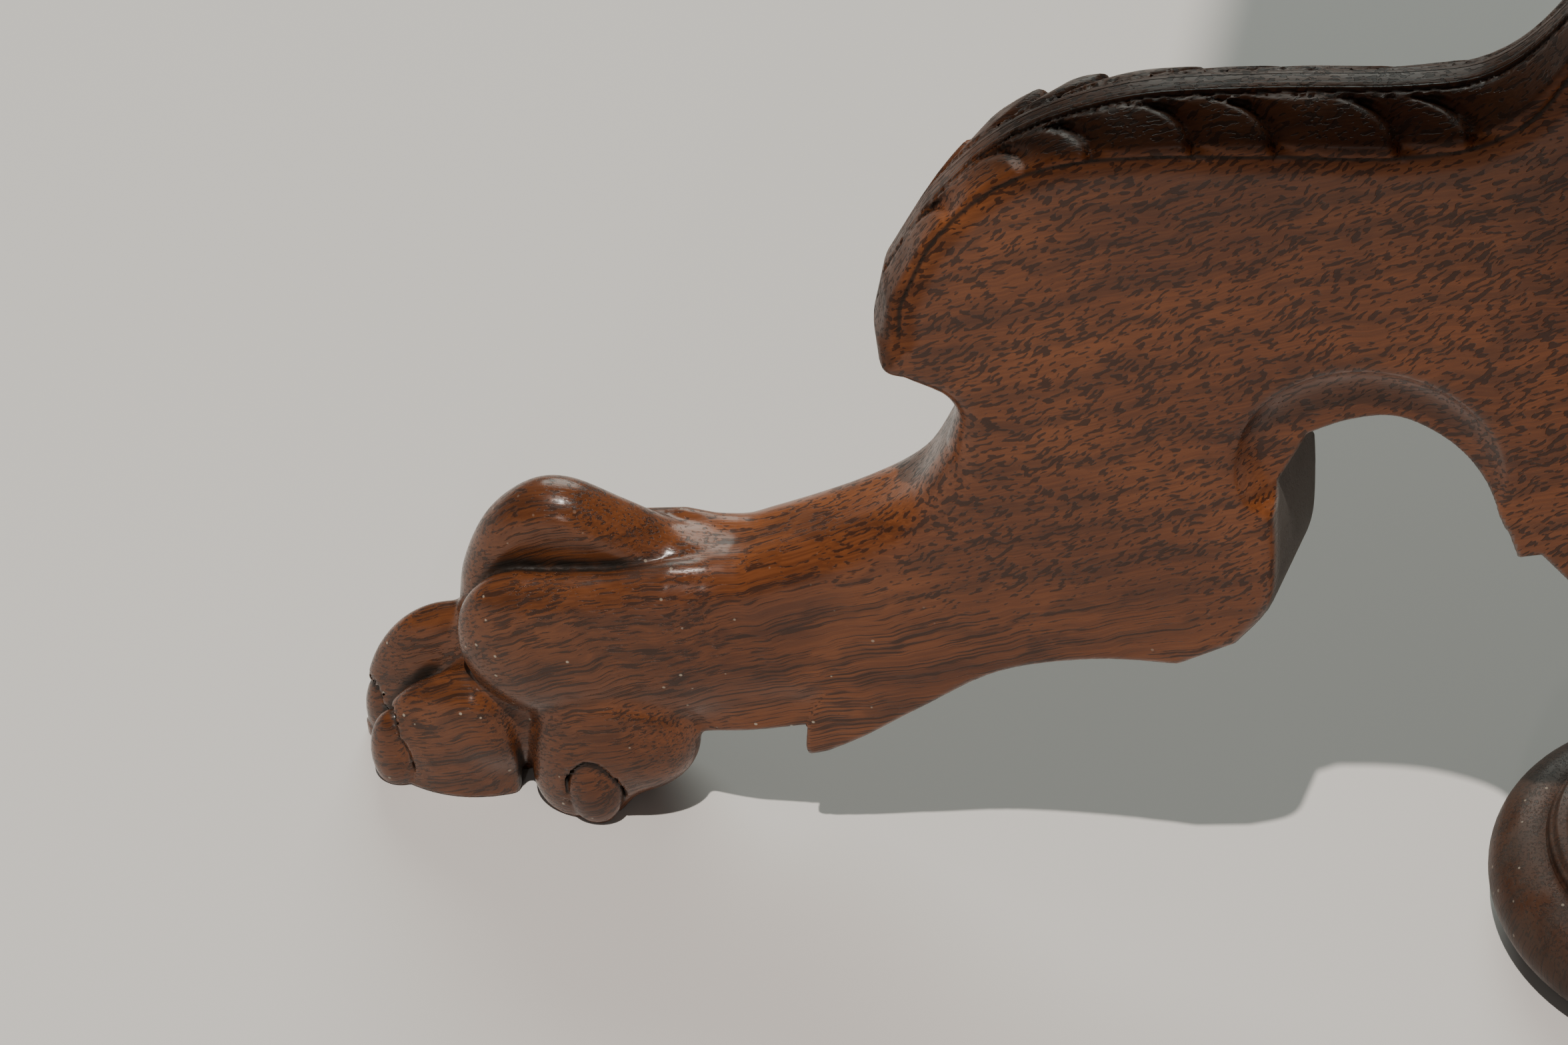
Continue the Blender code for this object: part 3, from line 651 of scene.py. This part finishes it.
def leg_wood(seed):
    """Varnished wood of a carved leg, with grime and painted shade in its hollows and a raw inner edge."""
    g = Graph("leg_wood_%d" % seed)
    at, space = grain_space(g, (0, LOW_GRAIN, 0), 0.37 * seed)
    _, short_space = grain_space(g, (0, HIGH_GRAIN, 0), 0.29 * seed)
    paw = g.span(g.put("SeparateXYZ", sockets={0: at}), -0.30, -0.37)
    up = g.put("SeparateXYZ", out=2, sockets={0: at})
    wander = g.mul(g.add(g.noise(at, scale=22, detail=2), -0.5), 0.09)
    long_marks = g.span(g.add(up, wander), 0.150, 0.105)
    colour, pores, height = wood_figure(g, space, long_marks, short_space)
    cavity, worn, raw, leaf = (g.attribute(name) for name in ("cavity", "worn", "raw", "leaf"))
    colour = g.mix(g.mul(worn, 0.16), colour, WOOD_LIGHT)
    # The paw is made darker than the rest of the leg
    colour = g.mix(g.mul(paw, 0.24), colour, PAW_DARK)
    patchy = g.span(g.noise(at, scale=160, detail=3), 0.25, 0.6, 0.6, 1.0)
    # Painted shade in hollows and creases, mixed with grime and broken up by noise
    grime_and_shade = g.mul(g.span(cavity, 0.25, 0.85), patchy)
    cuts = midrib_lines(g, leaf)
    colour = leg_colour(g, at, colour, grime_and_shade, leaf, cuts)
    colour = add_specks(g, at, colour, g.mul(g.span(up, 0.14, 0.07), 0.8))
    rough = g.add(g.span(g.noise(at, scale=70, detail=4), 0.3, 0.75, 0.27, 0.42), g.mul(pores, 0.10))
    for dirt, amount in ((grime_and_shade, 0.30), (raw, 0.45), (leaf, 0.08), (paw, -0.09)):
        rough = g.add(rough, g.mul(dirt, amount))
    height = g.add(height, g.mul(g.noise(at, scale=55, detail=2), 1.4))
    height = g.add(height, g.mul(cuts, -1.5))
    dull = g.math("MAXIMUM", raw, leaf)
    return g.finish(colour, rough, height, 0.00022, Specular_IOR_Level=g.span(leaf, 0, 1, 0.28, 0.14),
                    Coat_Weight=g.span(dull, 0, 1, 0.2, 0.02), Coat_Roughness=0.2)


def joinery_wood(seed, turn):
    """The desk's wood. turn is the angle of its grain from the desk's X, in degrees."""
    g = Graph("desk_wood_%d" % seed)
    at, space = grain_space(g, (0, 0, math.radians(-turn)), 0.41 * seed)
    colour, pores, height = wood_figure(g, space, 0.75)
    worn = g.span(g.noise(at, scale=9, detail=3), 0.45, 0.7)
    colour = g.mix(g.mul(worn, 0.25), colour, WOOD_LIGHT)
    # On the desk this dark colour is grime alone, in noise patches
    grime_and_shade = g.mul(g.span(g.noise(at, scale=14, detail=4, rough=0.7), 0.55, 0.75), 0.45)
    colour = g.mix(grime_and_shade, colour, GRIME_AND_SHADE)
    rough = g.add(g.span(g.noise(at, scale=45, detail=4), 0.3, 0.75, 0.26, 0.42), g.mul(pores, 0.10))
    return g.finish(colour, rough, height, 0.00018, Specular_IOR_Level=0.35, Coat_Weight=0.14,
                    Coat_Roughness=0.2)


def turned_wood(name, seed, dust_and_sheen_amount):
    """Darker varnished wood with its grain upright, faint turning marks, and grey patches scattered by
    noise, partly dust and partly painted sheen.
    """
    g = Graph(name)
    at, space = grain_space(g, (0, math.radians(90), 0), 0.53 * seed)
    colour, _, height = wood_figure(g, space, 0.9)
    colour = g.mix(0.78, colour, TURNED_DARK)
    up = g.put("SeparateXYZ", out=2, sockets={0: at})
    rings = g.noise(g.put("CombineXYZ", sockets={"Z": g.mul(up, 900.0)}), detail=1)
    # Grey patches: real dust and a painted sheen together, scattered by noise
    dust_and_sheen_patch = g.mul(g.span(g.noise(at, scale=60, detail=5, rough=0.65), 0.30, 0.72), dust_and_sheen_amount)
    colour = g.mix(dust_and_sheen_patch, colour, DUST_AND_SHEEN)
    colour = add_specks(g, at, colour, dust_and_sheen_amount)
    rough = g.add(g.span(g.noise(at, scale=30, detail=4), 0.3, 0.75, 0.33, 0.50), g.mul(dust_and_sheen_patch, 0.5))
    height = g.add(height, g.mul(rings, 0.8))
    return g.finish(colour, rough, height, 0.0002, Specular_IOR_Level=0.2, Coat_Weight=0.03,
                    Coat_Roughness=0.3)


def beech_wood():
    g = Graph("beech_wood")
    at = g.put("TexCoord", out=3)
    fibre = g.noise(g.stretch(at, 500, 500, 40), detail=3)
    fleck = g.span(g.noise(g.stretch(at, 900, 900, 180), detail=1), 0.62, 0.68)
    colour = g.mix(g.span(fibre, 0.3, 0.7), BEECH_DARK, BEECH_LIGHT)
    colour = g.mix(g.mul(fleck, 0.5), colour, BEECH_FLECK)
    return g.finish(colour, g.span(fibre, 0.2, 0.8, 0.5, 0.7), fibre, 0.0001)


def worn_metal(name, bright, dull, rough_lo, rough_hi):
    """Handled metal: bright where rubbed, dull and brown in patches, with fine scratches."""
    g = Graph(name)
    at = g.put("TexCoord", out=3)
    patch = g.span(g.noise(at, scale=48, detail=5, rough=0.62), 0.38, 0.66)
    spots = g.span(g.noise(at, scale=310, detail=3, rough=0.6), 0.62, 0.72)
    scratch = g.span(g.noise(g.stretch(at, 260, 2600, 900), detail=2), 0.60, 0.70)
    colour = g.mix(g.mul(patch, 0.75), bright, dull)
    colour = g.mix(g.mul(spots, 0.55), colour, tuple(0.4 * c for c in dull[:3]) + (1,))
    rough = g.add(g.span(patch, 0, 1, rough_lo, rough_hi), g.mul(g.add(scratch, spots), 0.12))
    height = g.add(g.mul(scratch, -0.5), g.mul(spots, -0.8))
    return g.finish(colour, rough, height, 0.00006, Metallic=1.0)


def mesh_from(name, points, faces, data):
    """A smooth mesh whose points carry the named numbers."""
    mesh = bpy.data.meshes.new(name)
    mesh.from_pydata(points.tolist(), [], faces.tolist())
    for key, values in data.items():
        layer = mesh.attributes.new(key, "FLOAT", "POINT")
        layer.data.foreach_set("value", np.asarray(values, np.float32))
    mesh.update()
    mesh.shade_smooth()
    return mesh


def new_object(name, data):
    ob = bpy.data.objects.new(name, data)
    bpy.context.scene.collection.objects.link(ob)
    return ob


def show(name, mesh, body, nodes, material, slot, at=(0, 0, 0), turn=(0, 0, 0)):
    """Places a visual piece and says which body it rides on and which CAD nodes it replaces."""
    ob = new_object(name, mesh)
    ob.location = Vector(at) * MM
    ob.rotation_euler = [math.radians(a) for a in turn]
    if material:
        ob.data.materials.clear()
        ob.data.materials.append(material)
    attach(ob, body)
    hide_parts(*nodes)
    return ob


# -------- turned and sawn pieces
def rounded(points, radius, closed=False, steps=3):
    """The same line with each corner turned into a short curve."""
    out, count = [], len(points)
    for i, corner in enumerate(points):
        if not closed and i in (0, count - 1):
            out.append(corner)
            continue
        starts = []
        for other in (points[i - 1], points[(i + 1) % count]):
            length = math.dist(corner, other)
            t = min(radius, 0.45 * length) / length
            starts.append([c + (o - c) * t for c, o in zip(corner, other)])
        for k in range(steps + 1):
            t = k / steps
            out.append(tuple((1 - t) ** 2 * a + 2 * t * (1 - t) * c + t * t * b
                             for a, c, b in zip(starts[0], corner, starts[1])))
    return out


def mesh_of(name, bm, sharp=35):
    """A mesh whose edges stay sharp beyond an angle in degrees."""
    bmesh.ops.remove_doubles(bm, verts=bm.verts, dist=1e-6)
    bmesh.ops.recalc_face_normals(bm, faces=bm.faces)
    mesh = bpy.data.meshes.new(name)
    bm.to_mesh(mesh)
    bm.free()
    mesh.shade_smooth()
    mesh.set_sharp_from_angle(angle=math.radians(sharp))
    return mesh


def ring_points(entry, angles, flutes, flute_from):
    """One ring of a turned piece. A third number in its entry makes it a square with cut corners."""
    size, height = entry[:2]
    across, along = np.cos(angles), np.sin(angles)
    radius = np.full(len(angles), float(size))
    if len(entry) == 3:
        a, b = np.abs(across), np.abs(along)
        radius = np.minimum(size / np.maximum(a, b), (2 * size - BLOCK_CHAMFER) / (a + b))
    if flutes and size >= flute_from:
        radius = radius - FLUTE_DEPTH * np.abs(np.sin(flutes * angles / 2)) ** 3
    return np.stack([radius * across, radius * along, np.full(len(angles), float(height))], 1)


def turned(name, profile, closed=False, flutes=0, flute_from=0.0, sides=SIDES):
    """A mesh turned round Z from (radius, height) points; rings past flute_from are fluted."""
    angles = np.arange(sides) * 2 * math.pi / sides
    bm = bmesh.new()
    rings = [[bm.verts.new(p * MM) for p in ring_points(entry, angles, flutes, flute_from)]
             for entry in profile]
    pairs = list(zip(rings, rings[1:])) + ([(rings[-1], rings[0])] if closed else [])
    for low, high in pairs:
        for i in range(sides):
            j = (i + 1) % sides
            bm.faces.new((low[i], low[j], high[j], high[i]))
    return mesh_of(name, bm)


def board(name, x, y, z):
    """A plain block."""
    bm = bmesh.new()
    bmesh.ops.create_cube(bm, size=1)
    for v in bm.verts:
        v.co = [(lo + (c + 0.5) * (hi - lo)) * MM for c, (lo, hi) in zip(v.co, (x, y, z))]
    return mesh_of(name, bm)


def prism(name, section, x0, x1):
    """A solid with the same (y, z) section all along X."""
    bm = bmesh.new()
    ends = [[bm.verts.new((x * MM, y * MM, z * MM)) for y, z in section] for x in (x0, x1)]
    bm.faces.new(ends[0])
    bm.faces.new(ends[1][::-1])
    count = len(section)
    for i in range(count):
        j = (i + 1) % count
        bm.faces.new((ends[0][i], ends[1][i], ends[1][j], ends[0][j]))
    return mesh_of(name, bm)


def moved(mesh, at=(0, 0, 0), turn=(0, 0, 0)):
    matrix = Euler([math.radians(a) for a in turn]).to_matrix().to_4x4()
    mesh.transform(Matrix.Translation(Vector(at) * MM) @ matrix)
    return mesh


def shaped(mesh, add=(), cut=(), edge=0.0, limit=48):
    """The mesh joined with some solids, cut by others, and with its sharp edges rounded."""
    ob = new_object("work", mesh)
    tools_used = []
    for operation, tools in (("UNION", add), ("DIFFERENCE", cut)):
        for tool in tools:
            step = ob.modifiers.new("join", "BOOLEAN")
            step.operation, step.solver = operation, "EXACT"
            step.object = new_object("work", tool)
            tools_used.append(step.object)
    if edge:
        bevel = ob.modifiers.new("edges", "BEVEL")
        bevel.width, bevel.segments, bevel.harden_normals = edge * MM, 3, True
        bevel.limit_method, bevel.angle_limit = "ANGLE", math.radians(limit)
    done = bpy.data.meshes.new_from_object(ob.evaluated_get(bpy.context.evaluated_depsgraph_get()))
    done.name = mesh.name + "_shape"
    if not edge:
        done.shade_smooth()
        done.set_sharp_from_angle(angle=math.radians(35))
    for helper in [ob] + tools_used:
        bpy.data.objects.remove(helper)
    return done


def rod(radius, z0, z1, at=(0, 0, 0), turn=(0, 0, 0)):
    """A round cutting tool."""
    return moved(turned("tool", [(0, z0), (radius, z0), (radius, z1), (0, z1)], sides=32), at, turn)


def column_profile():
    """From the socket of the drop up over the square block, the vase and the neck, down the bore."""
    foot = [(0, 160), (14.3, 160), (14.3, 113), (15.5, 112)]
    block = [(38, 112, 1), (39.2, 112.5, 1), (40, 114, 1), (BLOCK_HALF, 460.5, 1), (39.5, 461.7, 1),
             (38.2, 462.2, 1)]
    base = rounded([(40, 462.6), (49, 463), (53, 467), (54, 474), (53, 480), (49, 485), (43, 486),
                    (41.5, 488), (38, 490), (37, 492)], 1.6)
    vase = spline([(37, 492), (36, 502), (43, 530), (49, 562), (47, 596), (39, 640), (33, 690),
                   (31, 722)], 7)
    neck = rounded([(31, 722), (36, 724), (40, 729), (40, 735), (36, 740), (32.5, 742), (32, 748),
                    (29, 752), (29, 799.2), (28.2, COLUMN_TOP), (BORE_R, COLUMN_TOP),
                    (BORE_R, BORE_Z), (0, BORE_Z)], 1.2)
    return foot + block + base + vase + neck


def make_column(wood):
    hole = rod(SCREW_R + GAP, 10, 40, (0, 0, CLAMP_Z), (90, 0, 0))
    mesh = shaped(turned("column", column_profile()), cut=[hole])
    show("turned_column", mesh, "base", ["column"], wood, "mahogany_dark")


def make_drop(wood):
    bowl = arc(50, 18, 14.7, -75, 90, 22)
    step = rounded([(48.2, 32.6), (47.6, 33.6), (47.4, 36), (46.2, 36.6), (45.4, 38.6), (42.6, 39.2),
                    (41, 40.4)], 0.5)
    waist = spline([(40, 40.6), (32, 46), (27, 58), (27, 74), (33, 92), (37, 100)], 7)
    top = rounded([(37.4, 101), (38, 104), (38, 111.7), (14, 111.7), (14, 156.8), (12.8, 158),
                   (0, 158)], 0.8)
    profile = rounded([(0, 6), (30, 5), (46, 4)], 2.0) + bowl + step + waist + top
    show("turned_drop", turned("drop", profile), "base", ["base_drop"], wood, "mahogany_dark")


def make_stem(wood):
    profile = rounded([(0, STEM_Z0), (STEM_R, STEM_Z0), (STEM_R, STEM_Z1), (0, STEM_Z1)], 1.2)
    slot = board("slot", (-4.5, 4.5), (-30, -15), (580, 792))
    pin = rod(PIN_HOLE_R, -40, 40, (0, 0, YOKE_PIN_Z), (0, 90, 0))
    show("sliding_stem", shaped(turned("stem", profile), cut=[slot, pin]), "mast", ["stem"], wood,
         "mahogany_dark")


def make_collar(brass):
    section = rounded([(29.3, 770), (33, 770), (34.5, 772), (34.5, 776), (33, 778), (33, 796), (34.5, 798),
                       (34.5, 803), (32, 806), (24, 808), (18.7, 808), (18.7, 800.3), (29.3, 800.3)],
                      0.7, closed=True)
    hole = rod(SCREW_R + GAP, 20, 40, (0, 0, CLAMP_Z), (90, 0, 0))
    show("column_collar", shaped(turned("collar", section, closed=True), cut=[hole]), "base", ["collar"],
         brass, "aged_brass")


def make_clamp_screw(brass):
    profile = rounded([(0, 15.3), (3, 15.3), (4, 16.5), (4, 36), (7, 36.5), (8, 39), (6, 42), (6, 45),
                       (12, 47), (15, 50), (15, 56), (12, 59), (6, 60.5), (0, 61)], 0.9)
    mesh = turned("clamp_screw", profile, flutes=24, flute_from=14.0, sides=144)
    show("clamp_thumbscrew", mesh, "clamp_screw", ["clamp_screw"], brass, "aged_brass",
         (0, 0, CLAMP_Z), (90, 0, 0))


def make_yoke(brass, steel):
    profile = rounded([(0, 930.3), (18.7, 930.3), (18.7, 896), (22, 896), (23.5, 898), (23.5, 902),
                       (22, 904), (22, 930), (24, 932), (24, 937), (22, 939), (0, 939)], 0.6)
    section = [(-14, 936), (14, 936)] + arc(0, TILT_Z, 14, 0, 180, 24)
    cheeks = [prism("cheek", section, *ends) for ends in CHEEKS_X]
    holes = [rod(SCREW_R + GAP, -30, 30, (0, 0, TILT_Z), (0, 90, 0)),
             rod(PIN_HOLE_R, -40, 40, (0, 0, YOKE_PIN_Z), (0, 90, 0))]
    mesh = shaped(turned("yoke", profile), add=cheeks, cut=holes, edge=0.5, limit=60)
    show("stem_fork", mesh, "mast", ["yoke"], brass, "aged_brass")
    pin = turned("yoke_pin", rounded([(0, -23), (3, -23), (3, 23), (0, 23)], 0.6), sides=32)
    show("fork_pin", pin, "mast", ["yoke_pin"], steel, "steel", (0, 0, YOKE_PIN_Z), (0, 90, 0))


def make_lug(brass, steel):
    tongue = [(-LUG_R, 24)] + arc(0, 0, LUG_R, 180, 360, 24) + [(LUG_R, 24)]
    plate = board("plate", PLATE_X, PLATE_V, PLATE_N)
    holes = [rod(SCREW_R + GAP, -30, 30, turn=(0, 90, 0))]
    for x, y in SCREW_XY:
        sink = [(0, 22), (5.1, 22), (5.1, 23), (2.8, 25.8), (2.8, 30), (0, 30)]
        holes.append(moved(turned("sink", sink, sides=32), (x, y, 0)))
    lug = prism("tilt_lug", tongue, -LUG_HALF, LUG_HALF)
    mesh = shaped(lug, add=[plate], cut=holes, edge=0.6, limit=60)
    desk_piece("desk_lug", mesh, "tilt_lug", brass, "aged_brass")
    profile = rounded([(0, 23), (4.8, 23), (2.5, 25.8), (2.5, 42), (0, 45)], 0.3)
    for k, (x, y) in enumerate(SCREW_XY):
        screw = turned("lug_screw", profile, sides=32)
        slot = board("slot", (-6, 6), (-0.55, 0.55), (22.5, 24.1))
        mesh = moved(shaped(screw, cut=[slot]), (x, y, 0))
        desk_piece("lug_wood_screw_%d" % (k + 1), mesh, "lug_screw_%d" % (k + 1), steel, "steel")


def make_bolt(brass, steel):
    """The bolt that the desk tilts on, its washers, and the knob that clamps it."""
    across = dict(at=(0, 0, TILT_Z), turn=(0, 90, 0))
    head = rounded([(0, -22), (5, -22), (7.5, -20.5), (8, -18), (8, -17.3), (SCREW_R, -17.3), (SCREW_R, 31),
                    (SCREW_R - 0.8, 32), (0, 32)], 0.4)
    slot = board("slot", (-9, 9), (-0.8, 0.8), (-23, -20.6))
    bolt = shaped(turned("tilt_bolt", head, sides=64), cut=[slot])
    show("tilt_pivot_bolt", bolt, "mast", ["tilt_bolt"], steel, "steel", **across)
    for side, x in (("left", -17.0), ("right", 15.3)):
        section = [(SCREW_R + GAP, x), (10, x), (10, x + 1.4), (SCREW_R + GAP, x + 1.4)]
        washer = turned("washer", rounded(section, 0.3, closed=True), closed=True, sides=64)
        show("pivot_washer_" + side, washer, "mast", ["tilt_washer_" + side], steel, "steel", **across)
    section = rounded([(SCREW_R + GAP, 17.3), (9, 17.3), (10, 18.5), (8, 21), (8, 23), (14, 25), (17, 28),
                       (17, 34), (14, 37), (8, 38.5), (SCREW_R + GAP, 38.5)], 0.9, closed=True)
    knob = turned("tilt_knob", section, closed=True, flutes=24, flute_from=16.0, sides=144)
    show("tilt_clamp_knob", knob, "tilt_knob", ["tilt_knob"], brass, "aged_brass", **across)


def make_dowels(beech):
    profile = rounded([(0, 21), (4.8, 21), (6, 22.6), (6, 72.4), (4.8, 74), (0, 74)], 0.5)
    mesh = turned("leg_dowel", profile, flutes=20, flute_from=5.9, sides=80)
    for k, side in enumerate(SIDES_OF_STAND):
        for level, z in DOWEL_Z:
            show("fluted_dowel_%s_%s" % (side, level), mesh, "base", ["leg_dowel_%s_%s" % (side, level)],
                 beech, "beech", (0, 0, z), (0, -90, 90 * k))


def desk_piece(name, mesh, node, material, slot="mahogany"):
    return show(name, mesh, "desk", [node], material, slot, (0, 0, TILT_Z), (DESK_TILT, 0, 0))


def make_desk():
    half_w, half_d, inner = DESK_W / 2, DESK_D / 2, DESK_W / 2 - STILE_W
    for side, name in ((-1, "left"), (1, "right")):
        x = sorted((side * inner, side * half_w))
        stile = shaped(board("stile", x, (-half_d, half_d), (DESK_N0, DESK_N1)), edge=3.0)
        desk_piece("desk_stile_" + name, stile, "stile_" + name, joinery_wood(10 + side, 90))
    for end, name in ((-1, "bottom"), (1, "top")):
        y = sorted((end * (half_d - STILE_W), end * half_d))
        rail = shaped(board("rail", (-inner + GAP, inner - GAP), y, (DESK_N0, DESK_N1)), edge=2.6)
        desk_piece("desk_rail_" + name, rail, "rail_" + name, joinery_wood(14 + end, 0))
    panel = fielded_panel(inner - GAP, half_d - STILE_W - GAP)
    desk_piece("fielded_panel", panel, "panel", joinery_wood(17, 90))
    for side, name in ((-1, "left"), (1, "right")):
        x = sorted(side * edge for edge in BATTEN_X)
        v = (-half_d + BATTEN_SHORTER, half_d - BATTEN_SHORTER)
        batten = shaped(board("batten", x, v, (BATTEN_N, DESK_N0 - GAP)), edge=3.4)
        desk_piece("desk_batten_" + name, batten, "batten_" + name, joinery_wood(20 + side, 90))
    make_ledge(half_w, half_d)
    block = shaped(board("block", BLOCK_X, BLOCK_V, BLOCK_N), edge=4.0)
    desk_piece("screw_block", block, "mount_block", joinery_wood(25, 0))


def make_ledge(half_w, half_d):
    """The book ledge, with a hollow moulding along the face that a book stands against."""
    back, front, foot, top = -half_d + 22, -half_d + 2, DESK_N1 + GAP, DESK_N1 + 27
    section = ([(front, foot), (back, foot), (back, foot + 12)] + arc(back + 1, foot + 19, 4.5, 250, 110, 8)
               + arc((back + front) / 2, top - 7, 7, 20, 160, 10)
               + [(front + 1.2, top - 9), (front + 1.2, foot + 13), (front, foot + 11)])
    ledge = shaped(prism("ledge", section, -half_w + 8, half_w - 8), edge=0.8, limit=40)
    desk_piece("book_ledge", ledge, "ledge", joinery_wood(23, 0))


def fielded_panel(half_x, half_y):
    """A panel with a raised field and sloping margins."""
    levels = ((0, 54), (0, 65.2), (1.2, 66), (3, 66.2), (27, 69.0), (27.6, 70), (40, 70))
    corners = ((-1, -1), (1, -1), (1, 1), (-1, 1))
    bm = bmesh.new()
    rings = []
    for inset, n in levels:
        x, y = (half_x - inset) * MM, (half_y - inset) * MM
        rings.append([bm.verts.new((sx * x, sy * y, n * MM)) for sx, sy in corners])
    bm.faces.new(rings[0][::-1])
    bm.faces.new(rings[-1])
    for low, high in zip(rings, rings[1:]):
        for i in range(4):
            bm.faces.new((low[i], low[(i + 1) % 4], high[(i + 1) % 4], high[i]))
    return mesh_of("panel", bm, 8)


# -------- camera, light, floor
def make_camera():
    az, down = math.radians(CAMERA_AZIMUTH), math.radians(CAMERA_DOWN)
    back = Vector((math.sin(az) * math.cos(down), -math.cos(az) * math.cos(down), math.sin(down)))
    data = bpy.data.cameras.new("camera")
    data.sensor_width = 36.0
    data.lens = FOCAL_PX / IMAGE_W * data.sensor_width
    camera = new_object("camera", data)
    camera.location = LOOK_AT + back * CAMERA_DISTANCE
    camera.rotation_euler = back.to_track_quat("Z", "Y").to_euler()
    bpy.context.scene.camera = camera


def area_light(name, place, target, size, power, colour):
    data = bpy.data.lights.new(name, "AREA")
    data.shape, data.size, data.energy, data.color = "DISK", size, power, colour
    ob = new_object(name, data)
    ob.location = place
    ob.rotation_euler = (Vector(place) - Vector(target)).to_track_quat("Z", "Y").to_euler()


def make_light():
    world = bpy.data.worlds.new("world")
    world.use_nodes = True
    sky = world.node_tree.nodes["Background"].inputs
    sky["Color"].default_value, sky["Strength"].default_value = SKY_COLOUR, SKY_STRENGTH
    bpy.context.scene.world = world
    for light in LIGHTS:
        area_light(*light)


def make_floor():
    mesh = bpy.data.meshes.new("floor")
    bm = bmesh.new()
    bmesh.ops.create_grid(bm, x_segments=1, y_segments=1, size=6)
    bm.to_mesh(mesh)
    bm.free()
    floor = new_object("floor", mesh)
    mat = bpy.data.materials.new("floor")
    mat.use_nodes = True
    shader = mat.node_tree.nodes["Principled BSDF"].inputs
    shader["Base Color"].default_value, shader["Roughness"].default_value = FLOOR_COLOUR, 0.9
    mesh.materials.append(mat)


# -------- main
def make_legs():
    """Four objects share the sculpted mesh; each has its own wood, so that no two show the same grain."""
    mesh = mesh_from("leg", *sculpt_leg())
    for k, side in enumerate(SIDES_OF_STAND):
        leg = show("carved_leg_" + side, mesh, "base", ["leg_" + side], None, "mahogany")
        leg.rotation_euler.z = math.radians(90 * k)
        if not mesh.materials:
            mesh.materials.append(leg_wood(1))
        leg.material_slots[0].link = "OBJECT"
        leg.material_slots[0].material = leg_wood(k + 1)


def main():
    make_legs()
    wood, drop_wood = turned_wood("column_wood", 3, 0.12), turned_wood("drop_wood", 5, 0.36)
    brass = worn_metal("brass", BRASS, BRASS_DULL, 0.24, 0.46)
    steel = worn_metal("steel", STEEL, STEEL_DULL, 0.26, 0.48)
    make_column(wood)
    make_drop(drop_wood)
    make_stem(turned_wood("stem_wood", 7, 0.05))
    make_collar(brass)
    make_clamp_screw(brass)
    make_yoke(brass, steel)
    make_lug(brass, steel)
    make_bolt(brass, steel)
    make_dowels(beech_wood())
    make_desk()
    make_camera()
    make_light()
    make_floor()


main()
